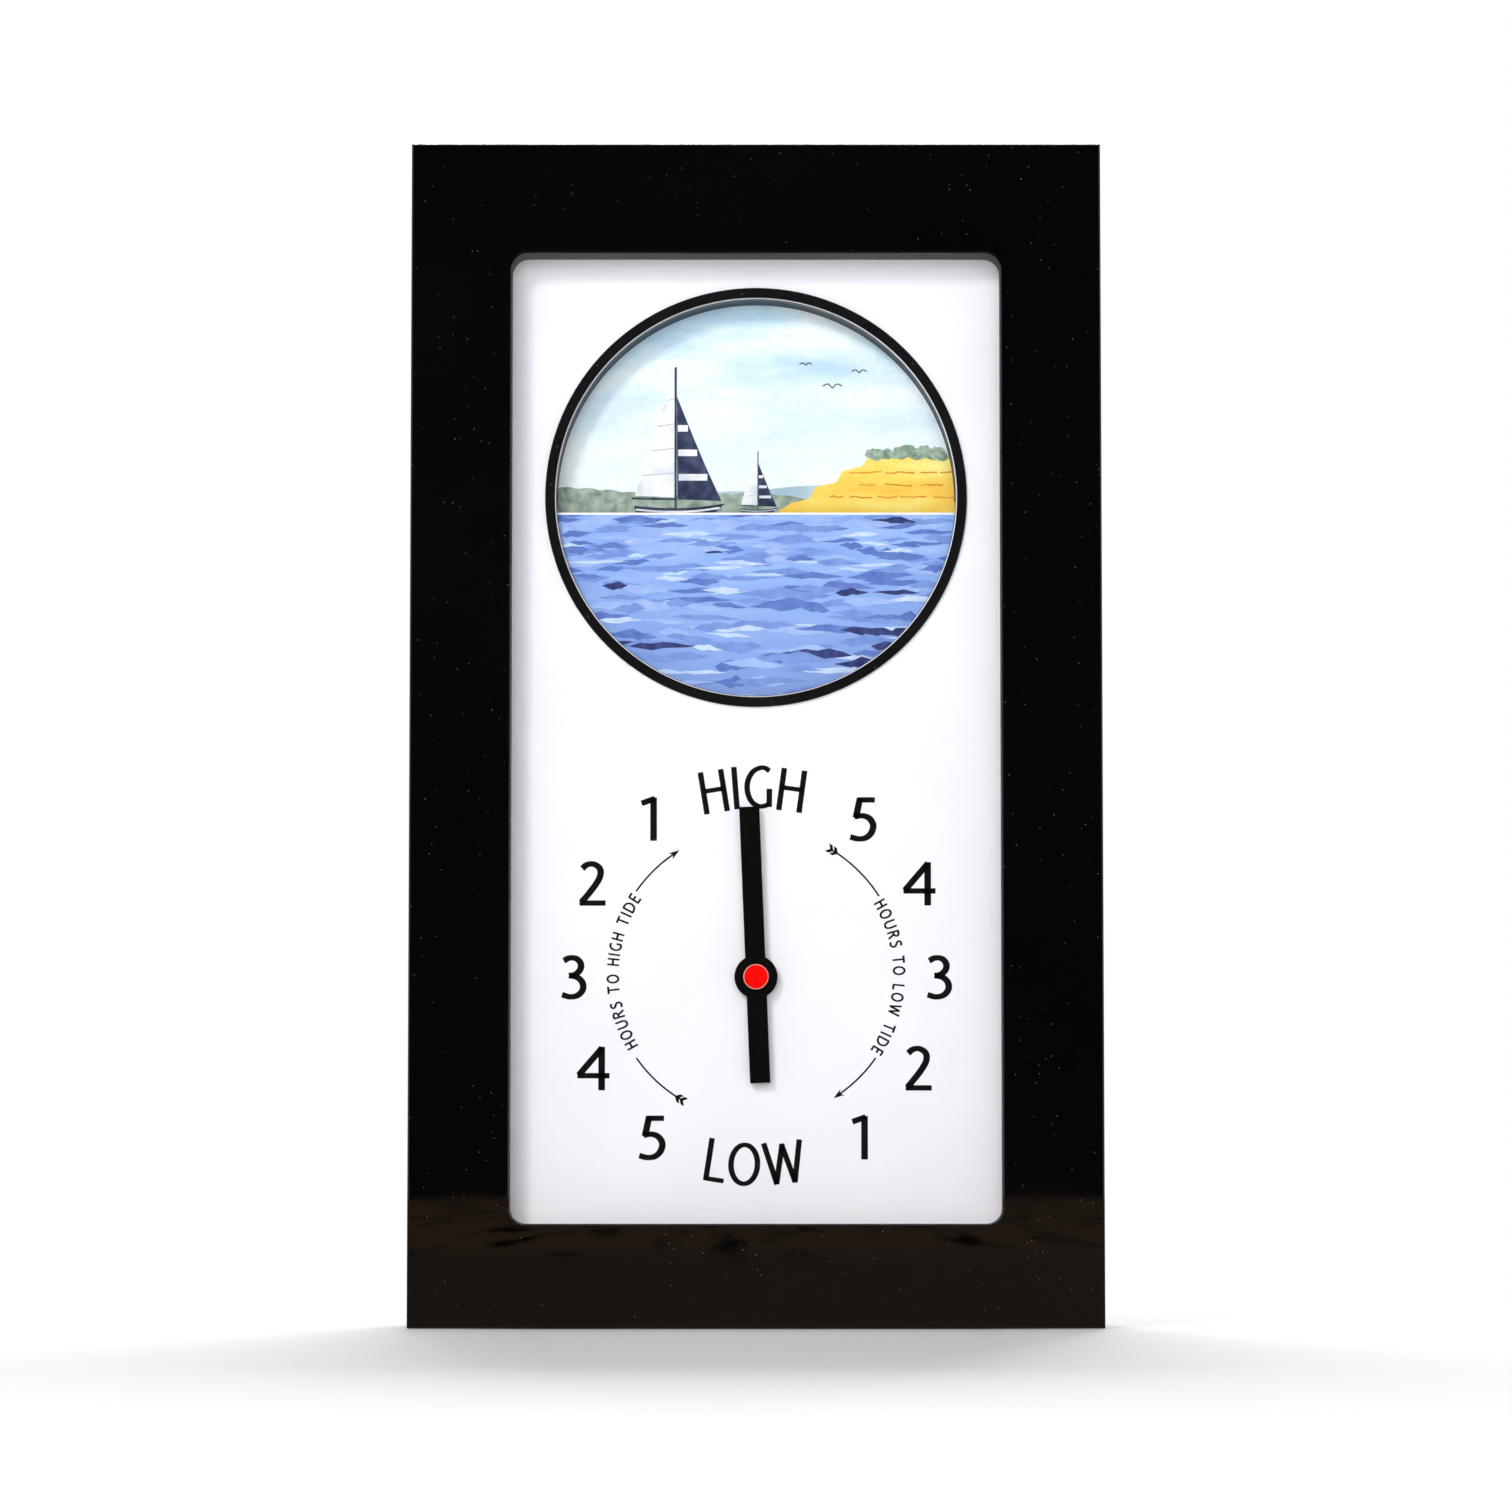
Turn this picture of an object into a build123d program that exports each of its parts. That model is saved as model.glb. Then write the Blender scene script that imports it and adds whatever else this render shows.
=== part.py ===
from build123d import *
from math import acos, cos, pi, radians, sin, tan
import os

os.makedirs("parts", exist_ok=True)

# A tide clock in a shallow glossy box. Millimetres, X to the right seen from the front,
# Y to the back, Z up, with the origin under the middle of the box.

# Box: a front plate with a tall window, four walls behind it and a screwed back cover.
case_width = 177.8
case_height = 304.8
frame_thick = 5.0
wall_thick = 6.0
edge_break = 0.4
frame_side = 26.0
frame_top = 28.5
frame_foot = 26.5
window_corner = 4.0
fit_gap = 0.4
cover_thick = 3.0
block_size = 14.0

# Keyhole in the back cover, for hanging on a screw; its drop is counted from the top of the box.
keyhole_drop = 42.8
keyhole_radius = 5.0
keyhole_slot = 5.0
keyhole_rise = 11.0

# Opening in the back cover round the clock movement.
access_gap = 3.0
access_corner = 3.0

# Countersunk screws of the back cover, their threaded shanks kept to eight flats.
screw_radius = 1.4
screw_flat_count = 8
screw_grip = 7.0
head_radius = 3.4

# Pane, spacer and dial. The porthole's dark ring keeps a gap to the window's sides and top.
pane_thick = 2.0
spacer_setback = 0.3
dial_thick = 2.2
ring_side_gap = 8.25
ring_top_gap = 7.25
ring_lip = 0.4
ring_band = 2.5
ring_thick = 0.8
shaft_rise = 63.3
dial_bore = 3.0

# Hand, tilted from upright by a turn counted clockwise from the front.
hand_tilt = -2.3
hand_reach = 43.9
hand_tail = 27.3
hand_width = 5.2
hand_thick = 1.6
hub_radius = 5.55
collet_radius = 4.2
collet_thick = 1.5
collet_gap = 0.5
cap_radius = 3.25
cap_thick = 0.7
cap_break = 0.2
cap_gap = 0.7

# Water panel, which slides behind the porthole, and the rails at its sides.
water_drop = 3.7
water_travel = 32.0
panel_thick = 1.2
panel_gap = 0.5
panel_lap = 6.0
panel_play = 0.5
tongue_width = 16.0
rail_margin = 5.4
rail_width = 14.0
rail_step = 4.0
rail_play = 0.3

# Picture board at the back of the porthole, and the lining between dial and board above the water.
picture_gap = 6.7
board_margin = 4.5
board_gap = 4.3
lining_thick = 1.5

# Gears: an equal pair from the hand's shaft to a crank above it, and on the crank a planet
# in a fixed ring of twice its size, so that one point of the planet runs straight up and down.
gear_module = 1.6
gear_teeth = 25
gear_thick = 2.0
ring_teeth = 32
planet_thick = 2.5
pressure_angle = radians(20)
tooth_play = 0.16
gear_tip_share = 1.0
gear_root_share = 1.25
planet_tip_share = 0.8
planet_root_share = 1.2
ring_tip_share = 0.6
ring_root_share = 1.2
layer_gap = 0.4
turn_gap = 0.05
lift_gap = 0.12
crank_axle_radius = 2.0
crank_shoulder_across = 8.0
crank_play = 0.1
planet_axle_radius = 1.5
lift_pin_radius = 1.25
arm_thick = 1.2
arm_width = 7.0
arm_gap = 0.3
standoff_across = 5.5
standoff_gap = 1.2
ring_plate_rim = 5.3
ring_plate_corner = 5.0

# Mechanism plate and the clock movement screwed to it by one nut.
plate_thick = 3.0
gasket_thick = 0.8
gasket_size = 26.0
shaft_radius = 1.75
bush_radius = 4.0
bush_gap = 0.1
thread_proud = 0.4
nut_thick = 1.8
nut_across = 12.0
washer_thick = 0.4
washer_radius = 7.5
movement_corner = 3.0
movement_edge = 0.8
lid_thick = 1.2
lid_rim = 1.6
lid_gap = 0.1

# Battery lying in a trough of the movement, between a flat and a bent contact.
battery_radius = 7.25
battery_body = 49.5
battery_nub_radius = 2.75
battery_nub = 1.0
battery_play = 0.15
battery_proud = 0.5
trough_wall = 1.5
trough_end_wall = 1.95
trough_floor = 1.85
contact_thick = 0.4
contact_width = 8.0
contact_spring = 0.8

# Setting knob on the shaft's rear end.
knob_radius = 7.0
knob_thick = 2.5
knob_gap = 0.3
knob_setback = 2.0
knob_teeth = 24
knob_groove = 0.6

# Room for the hand, and a movement just large enough for its battery trough.
hand_space = collet_gap + collet_thick + hand_thick + cap_thick + cap_gap
trough_radius = battery_radius + battery_play
trough_length = battery_body + battery_nub + 2 * contact_thick + contact_spring
movement_size = trough_length + 2 * trough_end_wall
movement_depth = battery_radius + trough_radius - battery_proud + trough_floor

# Layers of the clock, as distances behind the front face.
frame_back = frame_thick
pane_back = frame_back + pane_thick
dial_front = pane_back + hand_space
dial_back = dial_front + dial_thick
panel_front = dial_back + panel_gap
panel_back = panel_front + panel_thick
rail_ledge = panel_back + rail_play
arm_front = panel_back + layer_gap
planet_front = arm_front + arm_thick
planet_back = planet_front + planet_thick
ring_front = planet_front + arm_gap
gear_front = planet_back + layer_gap
gear_back = gear_front + gear_thick
bush_front = gear_back + layer_gap
nut_front = bush_front + thread_proud
nut_back = nut_front + nut_thick
plate_front = nut_back + washer_thick
plate_back = plate_front + plate_thick
board_front = dial_back + picture_gap
movement_front = plate_back + gasket_thick
movement_back = movement_front + movement_depth
knob_front = movement_back + knob_gap
knob_back = knob_front + knob_thick
case_depth = knob_back + knob_setback
cover_front = case_depth - cover_thick
collet_back = dial_front - collet_gap
hand_back = collet_back - collet_thick
hand_front = hand_back - hand_thick

# Widths and heights that follow from the box.
inner_width = case_width - 2 * wall_thick
inner_height = case_height - 2 * wall_thick
plate_width = inner_width - 2 * fit_gap
plate_height = inner_height - 2 * fit_gap
case_middle = case_height / 2
window_width = case_width - 2 * frame_side
window_height = case_height - frame_top - frame_foot
window_middle = frame_foot + window_height / 2
ring_radius_out = window_width / 2 - ring_side_gap
ring_radius_in = ring_radius_out - ring_band
porthole_radius = ring_radius_in - ring_lip
porthole_height = case_height - frame_top - ring_top_gap - ring_radius_out
water_level = porthole_height - water_drop
keyhole_height = case_height - keyhole_drop
shaft_height = frame_foot + shaft_rise
rail_inner = porthole_radius + rail_margin
groove_side = rail_inner + rail_step
rail_outer = rail_inner + rail_width
access_size = movement_size + 2 * access_gap

# Gear sizes and the places of the crank, the planet and the lift pin at rest.
planet_teeth = ring_teeth // 2
ring_module = water_travel / ring_teeth
gear_pitch_radius = gear_teeth * gear_module / 2
gear_tip_radius = gear_pitch_radius + gear_tip_share * gear_module
ring_radius = water_travel / 2
crank_throw = ring_radius / 2
crank_height = shaft_height + 2 * gear_pitch_radius
crank_lean = -hand_tilt
planet_x = crank_throw * sin(radians(crank_lean))
planet_height = crank_height + crank_throw * cos(radians(crank_lean))
lift_height = crank_height + ring_radius * cos(radians(crank_lean))
standoff_corner = standoff_across / (2 * cos(pi / 6))
standoff_circle = gear_tip_radius + standoff_gap + standoff_corner
standoff_offset = standoff_circle * cos(pi / 4)
ring_plate_size = 2 * (standoff_offset + ring_plate_rim)

shaft_place = (0, shaft_height)
crank_place = (0, crank_height)
planet_place = (planet_x, planet_height)
lift_place = (0, lift_height)
along_depth = (-90, 0, 0)


def depth_y(depth):
    return depth - case_depth / 2


# Upright plane facing the front, drawn in X and Z, from which extrusions run forwards.
def at_depth(depth):
    return Plane.XZ.offset(-depth_y(depth))


# Round rod along Y between two depths, added to or cut from the current part.
def rod(radius, front, back, place, mode=Mode.ADD):
    with Locations((place[0], depth_y(front), place[1])):
        Cylinder(
            radius,
            back - front,
            rotation=along_depth,
            align=(Align.CENTER, Align.CENTER, Align.MIN),
            mode=mode,
        )


# Screw head cone that widens through the back cover, added to or cut from the current part.
def sunk_head(place, mode=Mode.ADD):
    with Locations((place[0], depth_y(cover_front), place[1])):
        Cone(
            screw_radius,
            head_radius,
            cover_thick,
            rotation=along_depth,
            align=(Align.CENTER, Align.CENTER, Align.MIN),
            mode=mode,
        )


# Point at a radius and a clockwise angle from straight up.
def clock_point(radius, angle):
    return (radius * sin(angle), radius * cos(angle))


# Spur gear outline with one tooth straight up; a flank runs from the root through two points of its involute.
def gear_face(teeth, module, tip_share, root_share, play):
    pitch_radius = teeth * module / 2
    base_radius = pitch_radius * cos(pressure_angle)
    tip = pitch_radius + tip_share * module
    root = pitch_radius - root_share * module
    flank = [root, (max(root, base_radius) + tip) / 2, tip]
    pitch_half_angle = pi / (2 * teeth) - play / (4 * pitch_radius)

    def half_angle(radius):
        slope = acos(min(base_radius / radius, 1))
        return pitch_half_angle + tan(pressure_angle) - pressure_angle - tan(slope) + slope

    points = []
    for tooth in range(teeth):
        middle = 2 * pi * tooth / teeth
        points += [clock_point(radius, middle - half_angle(radius)) for radius in flank]
        points += [clock_point(radius, middle + half_angle(radius)) for radius in reversed(flank)]
    with BuildSketch(Plane.XY) as outline:
        with BuildLine():
            Polyline(points, close=True)
        make_face()
    return outline.sketch


# Square outline with its corners cut off.
def chamfered_square(size, corner):
    with BuildSketch(Plane.XY) as square:
        Rectangle(size, size)
        chamfer(square.vertices(), length=corner)
    return square.sketch


pair_gear = gear_face(gear_teeth, gear_module, gear_tip_share, gear_root_share, tooth_play)
planet_outline = gear_face(planet_teeth, ring_module, planet_tip_share, planet_root_share, tooth_play)
ring_space = gear_face(ring_teeth, ring_module, ring_root_share, ring_tip_share, -tooth_play)
half_tooth_turn = 180 / gear_teeth

block_places = [
    (side * (inner_width - block_size) / 2, case_middle + level * (inner_height - block_size) / 2)
    for side in (-1, 1)
    for level in (-1, 1)
]
standoff_places = [
    (side * standoff_offset, crank_height + level * standoff_offset)
    for side in (-1, 1)
    for level in (-1, 1)
]

# Front plate: glossy sheet with the tall window, its front edges broken.
with BuildPart() as front_frame:
    with BuildSketch(at_depth(frame_back)):
        with Locations((0, case_middle)):
            Rectangle(case_width, case_height)
        with Locations((0, window_middle)):
            RectangleRounded(window_width, window_height, window_corner, mode=Mode.SUBTRACT)
    extrude(amount=frame_thick)
    chamfer(front_frame.faces().sort_by(Axis.Y)[0].edges(), length=edge_break)
front_frame.part.label = "front_frame"
export_step(front_frame.part, "parts/front_frame.step")

# Walls of the box: bottom and top run the full width, the sides stand between them.
wall_sizes = {
    "wall_bottom": ((0, wall_thick / 2), (case_width, wall_thick)),
    "wall_top": ((0, case_height - wall_thick / 2), (case_width, wall_thick)),
    "wall_left": ((-(case_width - wall_thick) / 2, case_middle), (wall_thick, inner_height)),
    "wall_right": (((case_width - wall_thick) / 2, case_middle), (wall_thick, inner_height)),
}
for wall_name, (wall_place, wall_size) in wall_sizes.items():
    with BuildPart() as wall:
        with BuildSketch(at_depth(case_depth)):
            with Locations(wall_place):
                Rectangle(*wall_size)
        extrude(amount=case_depth - frame_back)
    wall.part.label = wall_name
    export_step(wall.part, f"parts/{wall_name}.step")

# Corner blocks glued into the box, which hold the stack of plates and take the back screws.
with BuildPart() as corner_blocks:
    with BuildSketch(at_depth(cover_front)):
        with Locations(block_places):
            Rectangle(block_size, block_size)
    extrude(amount=cover_front - plate_back)
    with BuildSketch(at_depth(cover_front)):
        with Locations(block_places):
            RegularPolygon(screw_radius, screw_flat_count)
    extrude(amount=screw_grip, mode=Mode.SUBTRACT)
corner_blocks.part.label = "corner_blocks"
export_step(corner_blocks.part, "parts/corner_blocks.step")

# Back cover between the walls, open round the movement, with the hanging keyhole.
with BuildPart() as back_cover:
    with BuildSketch(at_depth(case_depth)):
        with Locations((0, case_middle)):
            Rectangle(plate_width, plate_height)
        with Locations(shaft_place):
            add(chamfered_square(access_size, access_corner), mode=Mode.SUBTRACT)
        with Locations((0, keyhole_height)):
            Circle(keyhole_radius, mode=Mode.SUBTRACT)
            Rectangle(keyhole_slot, keyhole_rise, align=(Align.CENTER, Align.MIN), mode=Mode.SUBTRACT)
        with Locations((0, keyhole_height + keyhole_rise)):
            Circle(keyhole_slot / 2, mode=Mode.SUBTRACT)
    extrude(amount=cover_thick)
    for place in block_places:
        sunk_head(place, Mode.SUBTRACT)
back_cover.part.label = "back_cover"
export_step(back_cover.part, "parts/back_cover.step")

# Four countersunk screws, flush with the back cover.
with BuildPart() as back_screws:
    with BuildSketch(at_depth(cover_front)):
        with Locations(block_places):
            RegularPolygon(screw_radius, screw_flat_count)
    extrude(amount=screw_grip)
    for place in block_places:
        sunk_head(place)
back_screws.part.label = "back_screws"
export_step(back_screws.part, "parts/back_screws.step")

# Clear pane behind the front plate.
with BuildPart() as window_pane:
    with BuildSketch(at_depth(pane_back)):
        with Locations((0, case_middle)):
            Rectangle(plate_width, plate_height)
    extrude(amount=pane_thick)
window_pane.part.label = "window_pane"
export_step(window_pane.part, "parts/window_pane.step")

# Dark spacer that keeps room for the hand between the pane and the dial.
with BuildPart() as dial_spacer:
    with BuildSketch(at_depth(dial_front)):
        with Locations((0, case_middle)):
            Rectangle(plate_width, plate_height)
        with Locations((0, window_middle)):
            RectangleRounded(
                window_width + 2 * spacer_setback,
                window_height + 2 * spacer_setback,
                window_corner + spacer_setback,
                mode=Mode.SUBTRACT,
            )
    extrude(amount=hand_space)
dial_spacer.part.label = "dial_spacer"
export_step(dial_spacer.part, "parts/dial_spacer.step")

# White dial with the porthole and the bore for the hand's shaft.
with BuildPart() as dial_plate:
    with BuildSketch(at_depth(dial_back)):
        with Locations((0, case_middle)):
            Rectangle(plate_width, plate_height)
        with Locations((0, porthole_height)):
            Circle(porthole_radius, mode=Mode.SUBTRACT)
        with Locations(shaft_place):
            Circle(dial_bore, mode=Mode.SUBTRACT)
    extrude(amount=dial_thick)
dial_plate.part.label = "dial_plate"
export_step(dial_plate.part, "parts/dial_plate.step")

# Dark ring round the porthole, set back by a narrow lip of the dial.
with BuildPart() as porthole_ring:
    with BuildSketch(at_depth(dial_front)):
        with Locations((0, porthole_height)):
            Circle(ring_radius_out)
            Circle(ring_radius_in, mode=Mode.SUBTRACT)
    extrude(amount=ring_thick)
porthole_ring.part.label = "porthole_ring"
export_step(porthole_ring.part, "parts/porthole_ring.step")

# Rails at both sides, between dial and mechanism plate, with a ledge for the water panel's edge.
for side, rail_name in ((-1, "guide_rail_left"), (1, "guide_rail_right")):
    with BuildPart() as rail:
        with BuildSketch(Plane.XY.offset(wall_thick + fit_gap)):
            with BuildLine():
                Polyline(
                    (side * rail_inner, depth_y(rail_ledge)),
                    (side * rail_inner, depth_y(plate_front)),
                    (side * rail_outer, depth_y(plate_front)),
                    (side * rail_outer, depth_y(dial_back)),
                    (side * groove_side, depth_y(dial_back)),
                    (side * groove_side, depth_y(rail_ledge)),
                    close=True,
                )
            make_face()
        extrude(amount=plate_height)
    rail.part.label = rail_name
    export_step(rail.part, f"parts/{rail_name}.step")

# Board behind the porthole that carries the fixed scene, standing clear of the ring gear's plate.
board_foot = crank_height + ring_plate_size / 2 + board_gap
board_top = porthole_height + porthole_radius + board_margin
with BuildPart() as backdrop_board:
    with BuildSketch(at_depth(plate_front)):
        with Locations((0, board_foot)):
            Rectangle(
                2 * (rail_inner - fit_gap),
                board_top - board_foot,
                align=(Align.CENTER, Align.MIN),
            )
    extrude(amount=plate_front - board_front)
backdrop_board.part.label = "backdrop_board"
export_step(backdrop_board.part, "parts/backdrop_board.step")

# Arched lining of the porthole's upper half, between the dial and the picture board.
lining_radius = porthole_radius + lining_thick
with BuildPart() as porthole_lining:
    with BuildSketch(at_depth(board_front)):
        with Locations((0, porthole_height)):
            Circle(lining_radius)
            Circle(porthole_radius, mode=Mode.SUBTRACT)
            Rectangle(2 * lining_radius, lining_radius, align=(Align.CENTER, Align.MIN), mode=Mode.INTERSECT)
    extrude(amount=picture_gap)
porthole_lining.part.label = "porthole_lining"
export_step(porthole_lining.part, "parts/porthole_lining.step")

# Water panel: a wide sheet with a rounded tongue below, hung on the lift pin.
panel_bottom = porthole_height - porthole_radius - panel_lap
with BuildPart() as water_panel:
    with BuildSketch(at_depth(panel_back)):
        with Locations((0, panel_bottom)):
            Rectangle(
                2 * (groove_side - panel_play),
                water_level - panel_bottom,
                align=(Align.CENTER, Align.MIN),
            )
        with Locations(lift_place):
            Rectangle(tongue_width, water_level - lift_height, align=(Align.CENTER, Align.MIN))
            Circle(tongue_width / 2)
            Circle(lift_pin_radius + lift_gap, mode=Mode.SUBTRACT)
    extrude(amount=panel_thick)
water_panel.part.label = "water_panel"
export_step(water_panel.part, "parts/water_panel.step")

# Mechanism plate, which carries the picture board, the ring gear and the movement.
with BuildPart() as mechanism_plate:
    with BuildSketch(at_depth(plate_back)):
        with Locations((0, case_middle)):
            Rectangle(plate_width, plate_height)
        with Locations(shaft_place):
            Circle(bush_radius + bush_gap, mode=Mode.SUBTRACT)
        with Locations(crank_place):
            Circle(crank_axle_radius, mode=Mode.SUBTRACT)
    extrude(amount=plate_thick)
mechanism_plate.part.label = "mechanism_plate"
export_step(mechanism_plate.part, "parts/mechanism_plate.step")

# Fixed ring gear, cut in a plate that stands off from the mechanism plate.
with BuildPart() as ring_gear:
    with BuildSketch(at_depth(planet_back)):
        with Locations(crank_place):
            add(chamfered_square(ring_plate_size, ring_plate_corner))
            add(ring_space, mode=Mode.SUBTRACT)
    extrude(amount=planet_back - ring_front)
ring_gear.part.label = "ring_gear"
export_step(ring_gear.part, "parts/ring_gear.step")

# Hexagonal standoffs between the ring gear and the mechanism plate.
with BuildPart() as ring_standoffs:
    with BuildSketch(at_depth(plate_front)):
        with Locations(standoff_places):
            RegularPolygon(standoff_across / 2, 6, major_radius=False)
    extrude(amount=plate_front - planet_back)
ring_standoffs.part.label = "ring_standoffs"
export_step(ring_standoffs.part, "parts/ring_standoffs.step")

# Stub axle of the crank, with a hexagonal shoulder behind the gear.
with BuildPart() as crank_axle:
    rod(crank_axle_radius, gear_front, plate_back, crank_place)
    with BuildSketch(at_depth(plate_front)):
        with Locations(crank_place):
            RegularPolygon(crank_shoulder_across / 2, 6, major_radius=False)
    extrude(amount=plate_front - gear_back - crank_play)
crank_axle.part.label = "crank_axle"
export_step(crank_axle.part, "parts/crank_axle.step")

# Crank gear, with the planet's axle pressed in beside its bore.
with BuildPart() as crank_gear:
    with BuildSketch(at_depth(gear_back)):
        with Locations(crank_place):
            add(pair_gear, rotation=half_tooth_turn + 180 - crank_lean)
            Circle(crank_axle_radius + turn_gap, mode=Mode.SUBTRACT)
        with Locations(planet_place):
            Circle(planet_axle_radius, mode=Mode.SUBTRACT)
    extrude(amount=gear_thick)
crank_gear.part.label = "crank_gear"
export_step(crank_gear.part, "parts/crank_gear.step")

with BuildPart() as planet_axle:
    rod(planet_axle_radius, planet_front, gear_back, planet_place)
planet_axle.part.label = "planet_axle"
export_step(planet_axle.part, "parts/planet_axle.step")

# Planet gear inside the ring.
with BuildPart() as planet_gear:
    with BuildSketch(at_depth(planet_back)):
        with Locations(planet_place):
            add(planet_outline, rotation=crank_lean)
            Circle(planet_axle_radius + turn_gap, mode=Mode.SUBTRACT)
    extrude(amount=planet_thick)
planet_gear.part.label = "planet_gear"
export_step(planet_gear.part, "parts/planet_gear.step")

# Arm on the planet's face, reaching to the lift pin on its pitch circle.
arm_middle = ((planet_x + lift_place[0]) / 2, (planet_height + lift_height) / 2)
with BuildPart() as lift_arm:
    with BuildSketch(at_depth(planet_front)):
        SlotCenterPoint(arm_middle, lift_place, arm_width)
        with Locations(lift_place):
            Circle(lift_pin_radius, mode=Mode.SUBTRACT)
    extrude(amount=arm_thick)
lift_arm.part.label = "lift_arm"
export_step(lift_arm.part, "parts/lift_arm.step")

with BuildPart() as lift_pin:
    rod(lift_pin_radius, panel_front, planet_front, lift_place)
lift_pin.part.label = "lift_pin"
export_step(lift_pin.part, "parts/lift_pin.step")

# Shaft from the setting knob through the movement to the hand.
with BuildPart() as tide_shaft:
    rod(shaft_radius, hand_front, knob_back, shaft_place)
tide_shaft.part.label = "tide_shaft"
export_step(tide_shaft.part, "parts/tide_shaft.step")

with BuildPart() as drive_gear:
    with BuildSketch(at_depth(gear_back)):
        with Locations(shaft_place):
            add(pair_gear, rotation=-hand_tilt)
            Circle(shaft_radius, mode=Mode.SUBTRACT)
    extrude(amount=gear_thick)
drive_gear.part.label = "drive_gear"
export_step(drive_gear.part, "parts/drive_gear.step")

# Flat hand with a square-ended bar and a round hub.
with BuildPart() as hand:
    with BuildSketch(at_depth(hand_back)):
        with Locations(Location((0, shaft_height), -hand_tilt)):
            Rectangle(hand_width, hand_reach, align=(Align.CENTER, Align.MIN))
            Rectangle(hand_width, hand_tail, align=(Align.CENTER, Align.MAX))
            Circle(hub_radius)
            Circle(shaft_radius, mode=Mode.SUBTRACT)
    extrude(amount=hand_thick)
hand.part.label = "hand"
export_step(hand.part, "parts/hand.step")

# Collet behind the hand, which grips the shaft.
with BuildPart() as hand_collet:
    rod(collet_radius, hand_back, collet_back, shaft_place)
    rod(shaft_radius, hand_back, collet_back, shaft_place, Mode.SUBTRACT)
hand_collet.part.label = "hand_collet"
export_step(hand_collet.part, "parts/hand_collet.step")

with BuildPart() as hand_cap:
    rod(cap_radius, hand_front - cap_thick, hand_front, shaft_place)
    chamfer(hand_cap.faces().sort_by(Axis.Y)[0].edges(), length=cap_break)
hand_cap.part.label = "hand_cap"
export_step(hand_cap.part, "parts/hand_cap.step")

# Threaded bush of the movement, with its washer, nut and gasket.
with BuildPart() as threaded_bush:
    rod(bush_radius, bush_front, movement_front, shaft_place)
    rod(shaft_radius + turn_gap, bush_front, movement_front, shaft_place, Mode.SUBTRACT)
threaded_bush.part.label = "threaded_bush"
export_step(threaded_bush.part, "parts/threaded_bush.step")

with BuildPart() as hex_nut:
    with BuildSketch(at_depth(nut_back)):
        with Locations(shaft_place):
            RegularPolygon(nut_across / 2, 6, major_radius=False)
            Circle(bush_radius, mode=Mode.SUBTRACT)
    extrude(amount=nut_thick)
hex_nut.part.label = "hex_nut"
export_step(hex_nut.part, "parts/hex_nut.step")

with BuildPart() as nut_washer:
    rod(washer_radius, nut_back, plate_front, shaft_place)
    rod(bush_radius + bush_gap, nut_back, plate_front, shaft_place, Mode.SUBTRACT)
nut_washer.part.label = "nut_washer"
export_step(nut_washer.part, "parts/nut_washer.step")

with BuildPart() as gasket:
    with BuildSketch(at_depth(movement_front)):
        with Locations(shaft_place):
            Rectangle(gasket_size, gasket_size)
            Circle(bush_radius + bush_gap, mode=Mode.SUBTRACT)
    extrude(amount=gasket_thick)
gasket.part.label = "gasket"
export_step(gasket.part, "parts/gasket.step")

# Battery trough along the movement's lower edge.
movement_foot = shaft_height - movement_size / 2
battery_height = movement_foot + trough_wall + trough_radius
battery_depth = movement_back - battery_radius + battery_proud
trough_end = trough_length / 2
lid_foot = battery_height + trough_radius + lid_rim
lid_top = movement_foot + movement_size - lid_rim
lid_middle = (lid_foot + lid_top) / 2
lid_width = movement_size - 2 * lid_rim

# Movement housing: rounded box with the trough and a pocket for its lid.
with BuildPart() as movement_case:
    with BuildSketch(at_depth(movement_back)):
        with Locations(shaft_place):
            RectangleRounded(movement_size, movement_size, movement_corner)
    extrude(amount=movement_depth)
    chamfer(movement_case.faces().sort_by(Axis.Y)[-1].edges(), length=movement_edge)
    with BuildSketch(Plane.YZ.offset(-trough_end)):
        with Locations((depth_y(battery_depth), battery_height)):
            Circle(trough_radius)
            Rectangle(2 * trough_radius, 2 * trough_radius, align=(Align.MIN, Align.CENTER))
    extrude(amount=trough_length, mode=Mode.SUBTRACT)
    with BuildSketch(at_depth(movement_back)):
        with Locations((0, lid_middle)):
            Rectangle(lid_width, lid_top - lid_foot)
    extrude(amount=lid_thick, mode=Mode.SUBTRACT)
    rod(shaft_radius + turn_gap, movement_front, movement_back, shaft_place, Mode.SUBTRACT)
movement_case.part.label = "movement_case"
export_step(movement_case.part, "parts/movement_case.step")

with BuildPart() as movement_lid:
    with BuildSketch(at_depth(movement_back)):
        with Locations((0, lid_middle)):
            Rectangle(lid_width - 2 * lid_gap, lid_top - lid_foot - 2 * lid_gap)
    extrude(amount=lid_thick)
    rod(shaft_radius + turn_gap, movement_front, movement_back, shaft_place, Mode.SUBTRACT)
movement_lid.part.label = "movement_lid"
export_step(movement_lid.part, "parts/movement_lid.step")

# Battery with its nub towards +X.
battery_start = contact_thick + contact_spring - trough_end
with BuildPart() as battery:
    with BuildSketch(Plane.YZ.offset(battery_start)):
        with Locations((depth_y(battery_depth), battery_height)):
            Circle(battery_radius)
    extrude(amount=battery_body)
    with BuildSketch(Plane.YZ.offset(battery_start + battery_body)):
        with Locations((depth_y(battery_depth), battery_height)):
            Circle(battery_nub_radius)
    extrude(amount=battery_nub)
battery.part.label = "battery"
export_step(battery.part, "parts/battery.step")

# Flat contact at the nub and a contact with a pressed dimple at the other end.
with BuildPart() as contact_flat:
    with BuildSketch(Plane.YZ.offset(trough_end - contact_thick)):
        with Locations((depth_y(battery_depth), battery_height)):
            Rectangle(contact_width, contact_width)
    extrude(amount=contact_thick)
contact_flat.part.label = "contact_flat"
export_step(contact_flat.part, "parts/contact_flat.step")

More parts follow.
